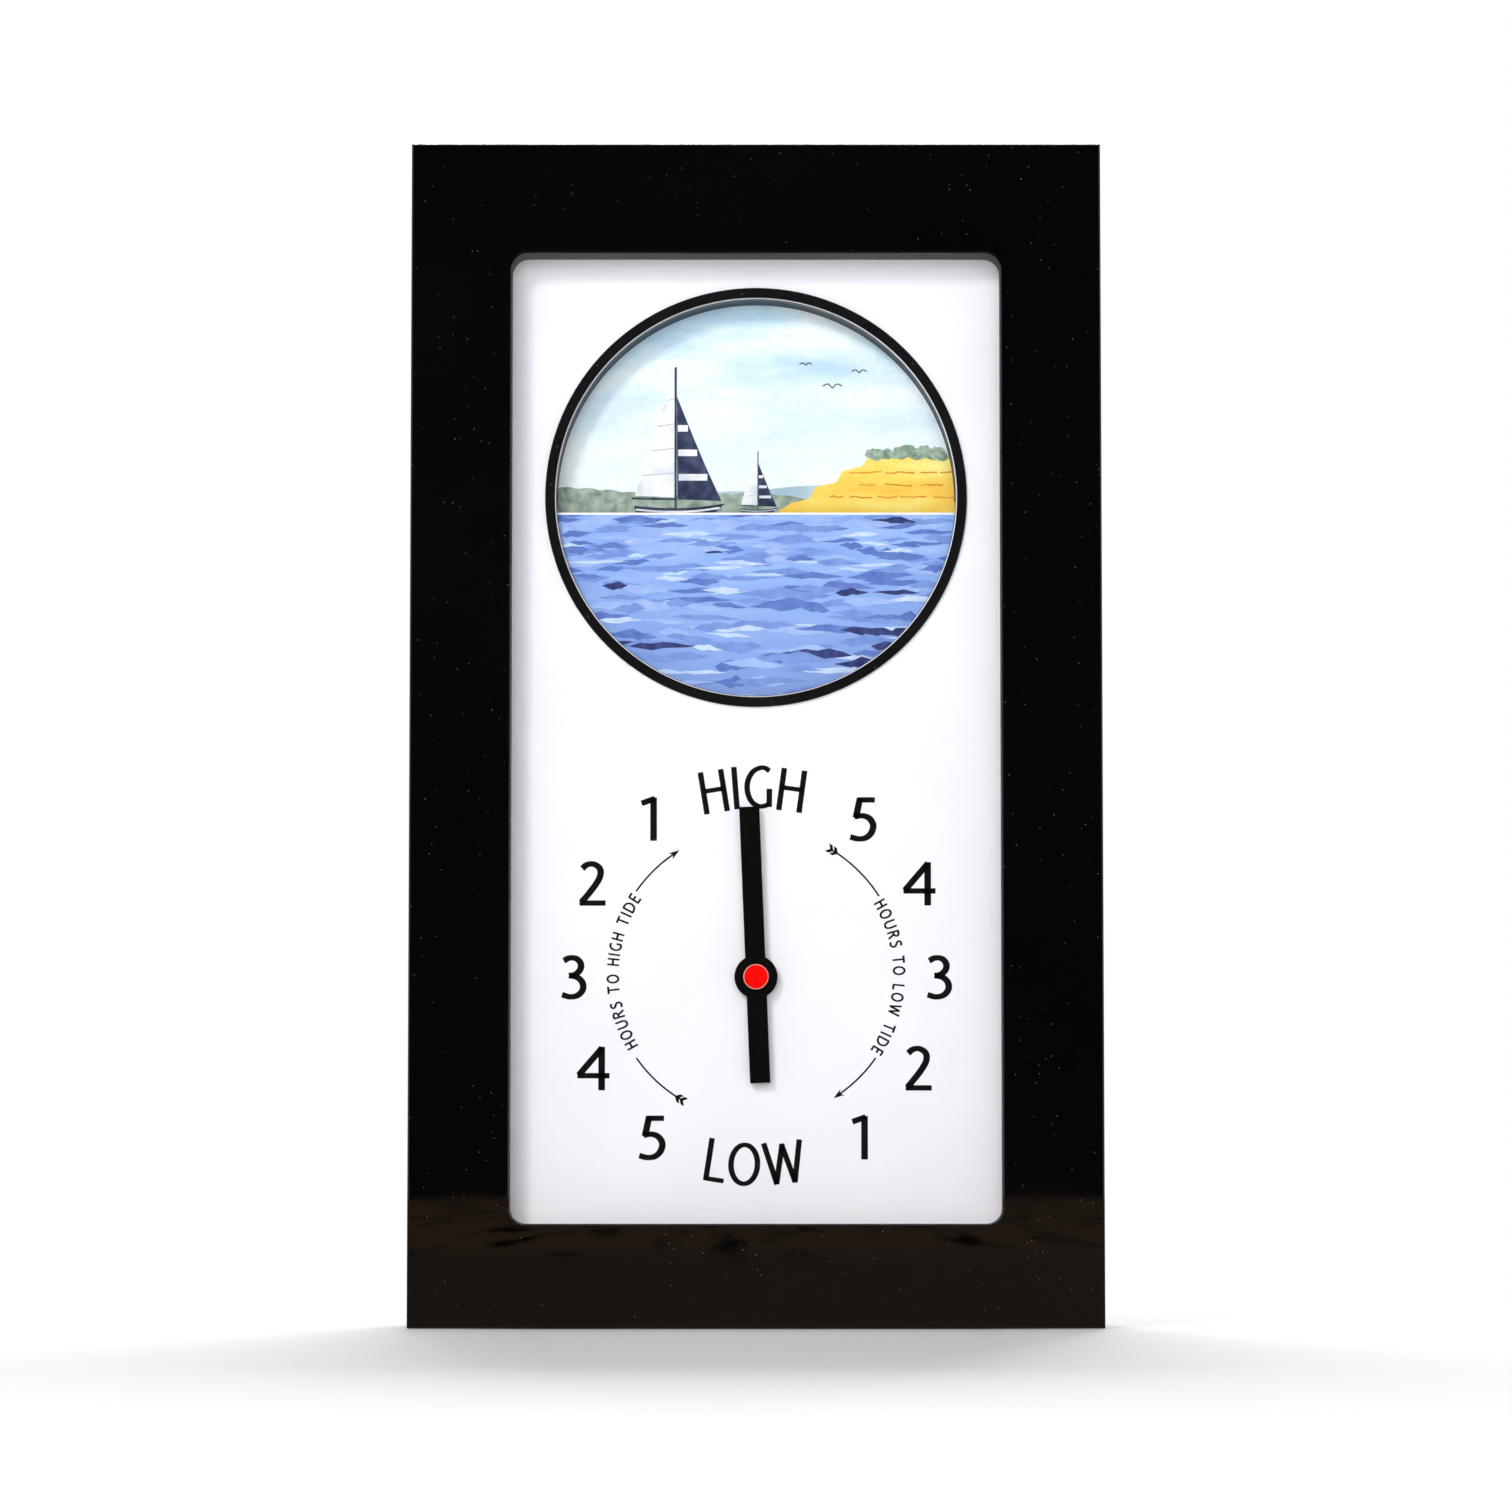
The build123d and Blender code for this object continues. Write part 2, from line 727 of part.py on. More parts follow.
with BuildPart() as contact_dimpled:
    with BuildSketch(Plane.YZ.offset(-trough_end)):
        with Locations((depth_y(battery_depth), battery_height)):
            Rectangle(contact_width, contact_width)
    extrude(amount=contact_thick)
    with BuildSketch(Plane.YZ.offset(contact_thick - trough_end)):
        with Locations((depth_y(battery_depth), battery_height)):
            Circle(contact_width / 4)
    extrude(amount=contact_spring)
contact_dimpled.part.label = "contact_dimpled"
export_step(contact_dimpled.part, "parts/contact_dimpled.step")

# Setting knob with a serrated rim.
knob_rim = []
for tooth in range(knob_teeth):
    knob_rim.append(clock_point(knob_radius, 2 * pi * tooth / knob_teeth))
    knob_rim.append(clock_point(knob_radius - knob_groove, 2 * pi * (tooth + 1 / 2) / knob_teeth))
with BuildSketch(Plane.XY) as knob_outline:
    with BuildLine():
        Polyline(knob_rim, close=True)
    make_face()
with BuildPart() as set_knob:
    with BuildSketch(at_depth(knob_back)):
        with Locations(shaft_place):
            add(knob_outline.sketch)
            Circle(shaft_radius, mode=Mode.SUBTRACT)
    extrude(amount=knob_thick)
set_knob.part.label = "set_knob"
export_step(set_knob.part, "parts/set_knob.step")
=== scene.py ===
import math
import random

import bmesh
import bpy
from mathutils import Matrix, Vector


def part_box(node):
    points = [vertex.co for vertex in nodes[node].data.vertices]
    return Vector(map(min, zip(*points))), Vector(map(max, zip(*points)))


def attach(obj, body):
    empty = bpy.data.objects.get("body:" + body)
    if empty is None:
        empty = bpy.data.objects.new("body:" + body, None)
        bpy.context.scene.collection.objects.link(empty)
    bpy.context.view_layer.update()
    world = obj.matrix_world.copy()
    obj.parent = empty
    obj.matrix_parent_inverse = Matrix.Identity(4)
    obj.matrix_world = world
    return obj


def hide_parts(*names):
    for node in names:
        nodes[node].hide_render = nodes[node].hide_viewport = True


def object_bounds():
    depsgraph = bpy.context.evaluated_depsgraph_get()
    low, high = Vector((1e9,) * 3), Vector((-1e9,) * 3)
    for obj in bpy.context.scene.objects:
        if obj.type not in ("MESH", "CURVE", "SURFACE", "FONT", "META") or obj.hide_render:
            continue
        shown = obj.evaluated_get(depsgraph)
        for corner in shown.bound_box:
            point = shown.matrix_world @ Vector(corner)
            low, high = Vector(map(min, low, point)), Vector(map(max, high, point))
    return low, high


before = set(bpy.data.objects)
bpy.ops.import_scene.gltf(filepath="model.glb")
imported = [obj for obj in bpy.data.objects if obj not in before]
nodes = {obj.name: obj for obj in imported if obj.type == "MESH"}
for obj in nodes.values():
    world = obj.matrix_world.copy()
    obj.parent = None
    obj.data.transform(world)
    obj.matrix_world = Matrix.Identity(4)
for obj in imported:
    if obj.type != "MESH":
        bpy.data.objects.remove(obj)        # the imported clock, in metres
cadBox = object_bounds()
mm = 0.001

# places that the printed and painted pieces take from the clock itself
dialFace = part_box("dial_plate")[0].y
ringLow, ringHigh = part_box("porthole_ring")
portholeZ = (ringLow.z + ringHigh.z) / 2
capLow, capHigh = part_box("hand_cap")
shaftZ = (capLow.z + capHigh.z) / 2
panelLow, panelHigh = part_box("water_panel")
boardLow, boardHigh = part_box("backdrop_board")


# colours are written as screen values from 0 to 255
def paint(red, green, blue):
    def linear(value):
        share = value / 255
        return share / 12.92 if share <= 0.04045 else ((share + 0.055) / 1.055) ** 2.4
    return (linear(red), linear(green), linear(blue), 1.0)


# node helpers
def addNode(tree, kind, inputs=None, **settings):
    made = tree.nodes.new("ShaderNode" + kind)
    for key, value in settings.items():
        setattr(made, key, value)
    for key, value in (inputs or {}).items():
        if isinstance(value, bpy.types.NodeSocket):
            tree.links.new(value, made.inputs[key])
        else:
            made.inputs[key].default_value = value
    return made


def ramp(tree, factor, stops):
    made = addNode(tree, "ValToRGB", {"Fac": factor})
    bar = made.color_ramp
    bar.elements[0].position, bar.elements[0].color = stops[0]
    bar.elements[1].position, bar.elements[1].color = stops[-1]
    for place, colour in stops[1:-1]:
        bar.elements.new(place).color = colour
    return made.outputs["Color"]


def span(tree, value, low, high, toLow, toHigh):
    return addNode(tree, "MapRange", {
        "Value": value, "From Min": low, "From Max": high, "To Min": toLow, "To Max": toHigh,
    }).outputs["Result"]


def mixColour(tree, factor, first, second, blend="MIX"):
    made = addNode(tree, "Mix", data_type="RGBA", blend_type=blend)
    for place, value in ((0, factor), (6, first), (7, second)):
        if isinstance(value, bpy.types.NodeSocket):
            tree.links.new(value, made.inputs[place])
        else:
            made.inputs[place].default_value = value
    return made.outputs[2]


def sums(tree, operation, first, second):
    made = addNode(tree, "Math", operation=operation)
    for place, value in enumerate((first, second)):
        if isinstance(value, bpy.types.NodeSocket):
            tree.links.new(value, made.inputs[place])
        else:
            made.inputs[place].default_value = value
    return made.outputs[0]


def noise(tree, place, scale, detail=3.0, stretch=None):
    if stretch:
        place = addNode(tree, "Mapping", {"Vector": place, "Scale": stretch}).outputs["Vector"]
    return addNode(tree, "TexNoise", {"Vector": place, "Scale": scale, "Detail": detail}).outputs["Fac"]


def newFinish(name):
    finish = bpy.data.materials.new(name)
    finish.use_nodes = True
    tree = finish.node_tree
    place = addNode(tree, "TexCoord").outputs["Object"]
    return finish, tree, tree.nodes["Principled BSDF"], place


# clouded colour, uneven gloss and a fine grain with softened edges: the base of most finishes
def grainFinish(name, look):
    finish, tree, shader, place = newFinish(name)
    stretch = look.get("stretch")
    cloud = noise(tree, place, look["cloud"], 4.0, stretch)
    grain = noise(tree, place, look["grain"], 2.0, stretch)
    colour = ramp(tree, cloud, [(0.32, look["shade"]), (0.68, look["colour"])])
    tree.links.new(colour, shader.inputs["Base Color"])
    rough = span(tree, grain, 0.3, 0.7, *look["rough"])
    tree.links.new(rough, shader.inputs["Roughness"])
    edge = addNode(tree, "Bevel", {"Radius": look["edge"]}, samples=4)
    bump = addNode(tree, "Bump", {
        "Strength": look["bump"], "Distance": look["depth"], "Height": grain, "Normal": edge.outputs["Normal"],
    })
    tree.links.new(bump.outputs["Normal"], shader.inputs["Normal"])
    shader.inputs["Metallic"].default_value = look.get("metal", 0.0)
    shader.inputs["Specular IOR Level"].default_value = look.get("gloss", 0.5)
    shader.inputs["Coat Weight"].default_value = look.get("coat", 0.0)
    shader.inputs["Coat Roughness"].default_value = 0.08
    return finish, tree, shader, place


def dress(finish, *names):
    for name in names:
        nodes[name].data.materials.clear()
        nodes[name].data.materials.append(finish)


# glossy black sheet of the front and walls, with specks of dust and a slight waviness
glossSheet = {
    "colour": paint(5, 5, 6), "shade": paint(2, 2, 3), "cloud": 16.0, "grain": 60.0, "rough": (0.008, 0.03),
    "edge": 0.3 * mm, "bump": 0.03, "depth": 0.1 * mm, "dust": paint(150, 146, 138), "dustCells": 430.0,
    "dustSize": 0.055,
}


def glossSheetFinish(name, look):
    finish, tree, shader, place = grainFinish(name, look)
    cells = addNode(tree, "TexVoronoi", {"Vector": place, "Scale": look["dustCells"]})
    speck = span(tree, cells.outputs["Distance"], look["dustSize"] * 0.4, look["dustSize"], 0.8, 0.0)
    base = shader.inputs["Base Color"].links[0].from_socket
    tree.links.new(mixColour(tree, speck, base, look["dust"]), shader.inputs["Base Color"])
    return finish, tree, shader, place


dress(glossSheetFinish("gloss_black", glossSheet)[0], "wall_bottom", "wall_top", "wall_left", "wall_right")

# the front is the same sheet, with a matt sawn edge round its window
sawnEdge = {"colour": paint(50, 47, 46), "rough": 0.6, "margin": 10 * mm}


def frontFinish(sheet, look):
    finish, tree, shader, place = glossSheetFinish("front_black", sheet)
    low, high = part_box("front_frame")
    spot = addNode(tree, "SeparateXYZ", {"Vector": place})
    across = sums(tree, "ABSOLUTE", spot.outputs["X"], 0.0)
    height = sums(tree, "ABSOLUTE", sums(tree, "SUBTRACT", spot.outputs["Z"], (low.z + high.z) / 2), 0.0)
    inside = sums(tree, "MULTIPLY", sums(tree, "LESS_THAN", across, high.x - look["margin"]),
                  sums(tree, "LESS_THAN", height, (high.z - low.z) / 2 - look["margin"]))
    facing = addNode(tree, "SeparateXYZ", {"Vector": addNode(tree, "TexCoord").outputs["Normal"]}).outputs["Y"]
    sawn = sums(tree, "MULTIPLY", inside, sums(tree, "LESS_THAN", sums(tree, "ABSOLUTE", facing, 0.0), 0.5))
    base = shader.inputs["Base Color"].links[0].from_socket
    tree.links.new(mixColour(tree, sawn, base, look["colour"]), shader.inputs["Base Color"])
    rough = shader.inputs["Roughness"].links[0].from_socket
    tree.links.new(sums(tree, "MAXIMUM", rough, sums(tree, "MULTIPLY", sawn, look["rough"])), shader.inputs["Roughness"])
    return finish


dress(frontFinish(glossSheet, sawnEdge), "front_frame")

# satin black of the recess and of what holds the layers
spacerLook = {
    "colour": paint(40, 38, 37), "shade": paint(33, 31, 31), "cloud": 90.0, "grain": 1400.0, "rough": (0.45, 0.6),
    "edge": 0.2 * mm, "bump": 0.15, "depth": 0.05 * mm,
}
dress(grainFinish("spacer_grey", spacerLook)[0], "dial_spacer")
railLook = dict(spacerLook, colour=paint(44, 43, 43), shade=paint(35, 34, 34))
dress(grainFinish("rail_black", railLook)[0], "corner_blocks", "guide_rail_left", "guide_rail_right")

# back cover: fine pebbled matte black
backLook = {
    "colour": paint(36, 36, 37), "shade": paint(32, 32, 33), "cloud": 40.0, "grain": 1700.0, "rough": (0.5, 0.72),
    "edge": 0.25 * mm, "bump": 0.5, "depth": 0.08 * mm,
}
dress(grainFinish("back_black", backLook)[0], "back_cover")

# clear pane: polished, with a faint unevenness of its gloss
paneLook = {"ior": 1.49, "rough": (0.0, 0.012), "smear": 22.0}


def paneFinish(look):
    finish, tree, shader, place = newFinish("clear_pane")
    shader.inputs["Base Color"].default_value = (1.0, 1.0, 1.0, 1.0)
    shader.inputs["Transmission Weight"].default_value = 1.0
    shader.inputs["IOR"].default_value = look["ior"]
    smear = noise(tree, place, look["smear"], 5.0)
    tree.links.new(span(tree, smear, 0.45, 0.75, *look["rough"]), shader.inputs["Roughness"])
    return finish


dress(paneFinish(paneLook), "window_pane")
nodes["window_pane"].visible_shadow = nodes["window_pane"].visible_diffuse = False   # light passes the clear pane

# white dial: satin card; the porthole's cut edge, pale card in shade, is drawn dark slate as painted shade
dialLook = {
    "colour": paint(248, 249, 254), "shade": paint(244, 245, 251), "cloud": 30.0, "grain": 2600.0,
    "rough": (0.38, 0.5), "edge": 0.1 * mm, "bump": 0.06, "depth": 0.04 * mm, "shadedCutEdge": paint(52, 64, 76),
    "ringLip": 0.4 * mm, "ringBand": 2.5 * mm, "shadedEdgeReach": 0.13 * mm,
}
portholeRadius = (ringHigh.x - ringLow.x) / 2 - dialLook["ringBand"] - dialLook["ringLip"]


def dialFinish(look):
    finish, tree, shader, place = grainFinish("dial_white", look)
    flat = addNode(tree, "Mapping", {"Vector": place, "Scale": (1.0, 0.0, 1.0)}).outputs["Vector"]
    reach = addNode(tree, "VectorMath", {0: flat, 1: (0.0, 0.0, portholeZ)}, operation="DISTANCE").outputs["Value"]
    # painted shade: the porthole's cut edge is coloured dark slate
    wall = sums(tree, "LESS_THAN", reach, portholeRadius + look["shadedEdgeReach"])
    base = shader.inputs["Base Color"].links[0].from_socket
    tree.links.new(mixColour(tree, wall, base, look["shadedCutEdge"]), shader.inputs["Base Color"])
    return finish


dress(dialFinish(dialLook), "dial_plate")
# porthole lining: pale board in the porthole's shadow, drawn dark slate as painted shade
shadedLiningLook = {
    "colour": paint(52, 64, 76), "shade": paint(44, 55, 66), "cloud": 60.0, "grain": 1800.0, "rough": (0.6, 0.75),
    "edge": 0.1 * mm, "bump": 0.1, "depth": 0.04 * mm,
}
dress(grainFinish("lining_slate", shadedLiningLook)[0], "porthole_lining")

# satin ring, painted hand and glossy red cap
ringLook = {
    "colour": paint(18, 18, 20), "shade": paint(13, 13, 15), "cloud": 120.0, "grain": 1500.0, "rough": (0.3, 0.42),
    "edge": 0.15 * mm, "bump": 0.12, "depth": 0.04 * mm, "gloss": 0.12, "dust": paint(190, 188, 184),
    "dustCells": 380.0, "dustSize": 0.06,
}
dress(glossSheetFinish("ring_black", ringLook)[0], "porthole_ring")
handLook = dict(ringLook, colour=paint(8, 8, 8), shade=paint(5, 5, 5), rough=(0.4, 0.55), gloss=0.08)
dress(glossSheetFinish("hand_black", handLook)[0], "hand")
# the cap's pale rim colour is a painted highlight on its side faces
capLook = {
    "colour": paint(247, 3, 1), "shade": paint(245, 2, 1), "cloud": 120.0, "grain": 900.0, "rough": (0.3, 0.4),
    "edge": 0.02 * mm, "bump": 0.03, "depth": 0.05 * mm, "gloss": 0.05, "rim": paint(244, 176, 166),
}


def capFinish(look):
    finish, tree, shader, _ = grainFinish("cap_red", look)
    normal = addNode(tree, "TexCoord").outputs["Normal"]
    tilt = addNode(tree, "SeparateXYZ", {"Vector": normal}).outputs["Y"]
    rim = sums(tree, "GREATER_THAN", tilt, -0.9)        # painted highlight: the side faces round the flat front are drawn pale
    base = shader.inputs["Base Color"].links[0].from_socket
    tree.links.new(mixColour(tree, rim, base, look["rim"]), shader.inputs["Base Color"])
    return finish


dress(capFinish(capLook), "hand_cap")

# inner plates, gears, metal and the clock movement
plateLook = {
    "colour": paint(226, 226, 222), "shade": paint(214, 214, 210), "cloud": 35.0, "grain": 1500.0,
    "rough": (0.5, 0.65), "edge": 0.2 * mm, "bump": 0.12, "depth": 0.04 * mm,
}
dress(grainFinish("plate_white", plateLook)[0], "mechanism_plate")
gearLook = dict(plateLook, colour=paint(228, 222, 205), shade=paint(214, 206, 186), cloud=140.0, rough=(0.35, 0.5))
dress(grainFinish("gear_nylon", gearLook)[0], "crank_gear", "drive_gear", "planet_gear", "ring_gear", "lift_arm")
steelLook = {
    "colour": paint(205, 206, 208), "shade": paint(178, 180, 184), "cloud": 200.0, "grain": 1600.0,
    "rough": (0.24, 0.36), "edge": 0.1 * mm, "bump": 0.04, "depth": 0.03 * mm, "metal": 1.0,
    "stretch": (1.0, 0.06, 1.0),
}
steelFinish = grainFinish("turned_steel", steelLook)[0]
dress(steelFinish, "crank_axle", "planet_axle", "lift_pin", "tide_shaft", "ring_standoffs")
brassLook = dict(steelLook, colour=paint(222, 190, 118), shade=paint(198, 160, 84))
dress(grainFinish("turned_brass", brassLook)[0], "threaded_bush", "hex_nut", "nut_washer", "hand_collet")
rubberLook = dict(backLook, colour=paint(34, 34, 34), shade=paint(26, 26, 26), rough=(0.75, 0.9))
dress(grainFinish("seal_rubber", rubberLook)[0], "gasket")
housingLook = {
    "colour": paint(34, 34, 36), "shade": paint(26, 26, 28), "cloud": 80.0, "grain": 2300.0, "rough": (0.42, 0.62),
    "edge": 0.3 * mm, "bump": 0.35, "depth": 0.05 * mm,
}
dress(grainFinish("movement_black", housingLook)[0], "movement_case")
lidLook = dict(housingLook, colour=paint(42, 42, 44), shade=paint(34, 34, 36), grain=3200.0, bump=0.2)
dress(grainFinish("lid_black", lidLook)[0], "movement_lid")
knobLook = dict(housingLook, colour=paint(128, 128, 131), shade=paint(112, 112, 115), rough=(0.35, 0.5), bump=0.12)
dress(grainFinish("knob_grey", knobLook)[0], "set_knob")
contactLook = dict(steelLook, colour=paint(222, 222, 220), shade=paint(200, 200, 198), rough=(0.12, 0.25))
dress(grainFinish("contact_metal", contactLook)[0], "contact_flat", "contact_dimpled")
print("finishes: cad nodes dressed")


# flat pieces are gathered in a batch of corners, faces and finish numbers
def newBatch():
    return {"corners": [], "faces": [], "marks": []}


def addFace(batch, corners, mark=0):
    batch["faces"].append(corners)
    batch["marks"].append(mark)


def makePiece(name, batch, body, finishes, smooth=False):
    mesh = bpy.data.meshes.new(name)
    mesh.from_pydata(batch["corners"], [], batch["faces"])
    for finish in finishes:
        mesh.materials.append(finish)
    for face, mark in zip(mesh.polygons, batch["marks"]):
        face.material_index = mark
        face.use_smooth = smooth
    piece = bpy.data.objects.new(name, mesh)
    bpy.context.scene.collection.objects.link(piece)
    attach(piece, body)
    return piece


# closed flat shape from an outline in x and z, standing proud of the depth it lies on
def addFlat(batch, outline, back, proud, mark=0):
    turn = sum(a.x * b.y - b.x * a.y for a, b in zip(outline, outline[1:] + outline[:1]))
    points = outline if turn > 0 else outline[::-1]
    first, count = len(batch["corners"]), len(points)
    for depth in (back - proud, back):
        batch["corners"] += [(p.x, depth, p.y) for p in points]
    front = list(range(first, first + count))
    rear = [corner + count for corner in front]
    addFace(batch, front, mark)
    addFace(batch, rear[::-1], mark)
    for a in range(count):
        b = (a + 1) % count
        addFace(batch, [front[b], front[a], rear[a], rear[b]], mark)


# line through given points, rounded where it is a curve
def smoothLine(points, steps=7):
    ends = [points[0] * 2 - points[1]] + points + [points[-1] * 2 - points[-2]]
    line = []
    for before, start, end, after in zip(ends, ends[1:], ends[2:], ends[3:]):
        for step in range(steps):
            t = step / steps
            line.append((
                start * 2 + (end - before) * t + (before * 2 - start * 5 + end * 4 - after) * t ** 2
                + (start * 3 - before - end * 3 + after) * t ** 3
            ) / 2)
    return line + [points[-1]]


# pen stroke along a line: upright runs take the full weight, level runs a little less
def addStroke(batch, line, weight, back, proud, levelShare=0.8, mark=0):
    left, right = [], []
    for place, point in enumerate(line):
        arms = []
        if place:
            arms.append((point - line[place - 1]).normalized())
        if place < len(line) - 1:
            arms.append((line[place + 1] - point).normalized())
        along = sum(arms, Vector((0, 0))).normalized()
        half = weight / 2 * (levelShare + (1 - levelShare) * abs(along.y))
        half /= max(0.4, along.dot(arms[0]))
        side = Vector((-along.y, along.x)) * half
        left.append(point + side)
        right.append(point - side)
    first, count = len(batch["corners"]), len(line)
    for depth in (back - proud, back):
        batch["corners"] += [(p.x, depth, p.y) for p in left]
        batch["corners"] += [(p.x, depth, p.y) for p in right]
    frontLeft, frontRight, rearLeft, rearRight = (range(first + count * row, first + count * (row + 1)) for row in range(4))
    for a in range(count - 1):
        b = a + 1
        addFace(batch, [frontLeft[a], frontRight[a], frontRight[b], frontLeft[b]], mark)
        addFace(batch, [rearLeft[b], rearRight[b], rearRight[a], rearLeft[a]], mark)
        addFace(batch, [frontLeft[b], rearLeft[b], rearLeft[a], frontLeft[a]], mark)
        addFace(batch, [frontRight[a], rearRight[a], rearRight[b], frontRight[b]], mark)
    addFace(batch, [frontRight[0], frontLeft[0], rearLeft[0], rearRight[0]], mark)
    addFace(batch, [frontLeft[-1], frontRight[-1], rearRight[-1], rearLeft[-1]], mark)


# dial print: each letter has its width and pen strokes, in shares of its height
letterShapes = {
    "1": (0.36, [("line", (0.0, 0.865), (0.31, 0.975)), ("line", (0.28, 1.0), (0.28, 0.0))]),
    "2": (0.62, [("curve", (0.07, 0.85), (0.18, 0.94), (0.33, 0.955), (0.47, 0.86), (0.49, 0.7), (0.4, 0.51),
                  (0.22, 0.27), (0.05, 0.07)), ("line", (0.01, 0.055), (0.61, 0.055))]),
    "3": (0.58, [("curve", (0.07, 0.88), (0.2, 0.945), (0.36, 0.93), (0.46, 0.82), (0.45, 0.68), (0.34, 0.57),
                  (0.19, 0.54)), ("curve", (0.19, 0.54), (0.38, 0.5), (0.5, 0.38), (0.51, 0.22), (0.4, 0.09),
                  (0.22, 0.05), (0.03, 0.1))]),
    "4": (0.74, [("line", (0.57, 0.975), (0.03, 0.345)), ("line", (0.0, 0.335), (0.74, 0.335)),
                 ("line", (0.56, 1.0), (0.56, 0.0))]),
    "5": (0.62, [("line", (0.21, 0.945), (0.59, 0.945)), ("line", (0.25, 0.99), (0.15, 0.53)),
                 ("curve", (0.12, 0.555), (0.3, 0.58), (0.46, 0.52), (0.55, 0.37), (0.51, 0.19), (0.38, 0.07),
                  (0.2, 0.045), (0.02, 0.09))]),
    "H": (0.62, [("line", (0.07, 0.0), (0.07, 1.0)), ("line", (0.55, 0.0), (0.55, 1.0)),
                 ("line", (0.07, 0.54), (0.55, 0.54))]),
    "I": (0.16, [("line", (0.08, 0.0), (0.08, 1.0))]),
    "G": (0.68, [("curve", (0.6, 0.88), (0.5, 0.945), (0.37, 0.95), (0.2, 0.85), (0.09, 0.63), (0.09, 0.37),
                  (0.19, 0.15), (0.35, 0.05), (0.49, 0.055), (0.6, 0.11)), ("line", (0.6, 0.03), (0.6, 0.46))]),
    "L": (0.5, [("line", (0.08, 0.0), (0.08, 1.0)), ("line", (0.08, 0.05), (0.5, 0.05))]),
    "O": (0.74, [("ring", (0.37, 0.5), (0.31, 0.455))]),
    "W": (0.94, [("line", (0.05, 1.0), (0.26, 0.01)), ("line", (0.25, 0.02), (0.48, 0.94)),
                 ("line", (0.46, 0.94), (0.69, 0.02)), ("line", (0.68, 0.01), (0.89, 1.0))]),
    "U": (0.7, [("curve", (0.08, 1.0), (0.08, 0.68), (0.085, 0.36), (0.17, 0.12), (0.35, 0.05), (0.53, 0.12),
                 (0.615, 0.36), (0.62, 0.68), (0.62, 1.0))]),
    "R": (0.6, [("line", (0.08, 0.0), (0.08, 1.0)), ("curve", (0.08, 0.945), (0.28, 0.95), (0.45, 0.87),
                (0.48, 0.71), (0.38, 0.57), (0.22, 0.52), (0.08, 0.51)), ("line", (0.3, 0.52), (0.57, 0.0))]),
    "S": (0.54, [("curve", (0.48, 0.88), (0.34, 0.95), (0.18, 0.92), (0.09, 0.79), (0.15, 0.64), (0.32, 0.53),
                  (0.46, 0.4), (0.47, 0.22), (0.36, 0.08), (0.2, 0.045), (0.04, 0.11))]),
    "T": (0.62, [("line", (0.0, 0.95), (0.62, 0.95)), ("line", (0.31, 0.95), (0.31, 0.0))]),
    "D": (0.74, [("line", (0.08, 0.0), (0.08, 1.0)), ("curve", (0.08, 0.95), (0.3, 0.94), (0.52, 0.85), (0.65, 0.63),
                 (0.65, 0.37), (0.52, 0.15), (0.3, 0.06), (0.08, 0.05))]),
    "E": (0.5, [("line", (0.08, 0.0), (0.08, 1.0)), ("line", (0.08, 0.95), (0.5, 0.95)),
                ("line", (0.08, 0.53), (0.45, 0.53)), ("line", (0.08, 0.05), (0.5, 0.05))]),
}
ink = {"proud": 0.05 * mm, "levelShare": 0.8}
inkLook = {
    "colour": paint(18, 18, 19), "shade": paint(12, 12, 13), "cloud": 700.0, "grain": 3000.0, "rough": (0.4, 0.55),
    "edge": 0.02 * mm, "bump": 0.05, "depth": 0.02 * mm, "gloss": 0.1,
}
inkFinish = grainFinish("dial_ink", inkLook)[0]


def onCircle(centreZ, radius, degrees):
    turn = math.radians(degrees)
    return Vector((radius * math.sin(turn), centreZ + radius * math.cos(turn)))


def addLetter(batch, letter, middle, height, weight, degrees):
    width, strokes = letterShapes[letter]
    turn = math.radians(degrees)
    across = Vector((math.cos(turn), -math.sin(turn))) * height
    up = Vector((math.sin(turn), math.cos(turn))) * height

    def placed(x, y):
        return middle + across * (x - width / 2) + up * (y - 0.5)

    for kind, *points in strokes:
        if kind == "ring":
            (x, y), (rx, ry) = points
            points = [(x + rx * math.cos(a * math.pi / 18), y + ry * math.sin(a * math.pi / 18)) for a in range(37)]
        line = [placed(*point) for point in points]
        if kind == "curve":
            line = smoothLine(line)
        addStroke(batch, line, weight, dialFace, ink["proud"], ink["levelShare"])


# hours at both sides, from the top down
numbers = {
    "left": "12345", "right": "54321", "angles": (34.0, 60.2, 90.0, 119.3, 147.0),
    "radii": (49.3 * mm, 48.6 * mm, 47.1 * mm, 48.0 * mm, 49.2 * mm), "height": 11.2 * mm, "weight": 1.72 * mm,
}
numberBatch = newBatch()
for side, digits in ((-1, numbers["left"]), (1, numbers["right"])):
    for digit, angle, radius in zip(digits, numbers["angles"], numbers["radii"]):
        spot = onCircle(shaftZ, radius, side * angle)
        addLetter(numberBatch, digit, spot, numbers["height"], numbers["weight"], 0.0)
makePiece("dial_numbers", numberBatch, "case", [inkFinish])

# the two large words stand on the dial's circle, each letter fanned with it
tideWords = {
    "high": [("H", -12.8), ("I", -6.2), ("G", 0.7), ("H", 10.8)], "low": [("L", 192.3), ("O", 183.6), ("W", 171.5)],
    "radius": 49.2 * mm, "lowRadius": 48.2 * mm, "height": 11.0 * mm, "weight": 1.44 * mm, "fanShare": 0.72,
}
wordBatch = newBatch()
for letter, angle in tideWords["high"]:
    spot = onCircle(shaftZ, tideWords["radius"], angle)
    addLetter(wordBatch, letter, spot, tideWords["height"], tideWords["weight"], angle * tideWords["fanShare"])
for letter, angle in tideWords["low"]:
    spot = onCircle(shaftZ, tideWords["lowRadius"], angle)
    lean = (angle - 180) * tideWords["fanShare"]
    addLetter(wordBatch, letter, spot, tideWords["height"], tideWords["weight"], lean)
makePiece("dial_words", wordBatch, "case", [inkFinish])

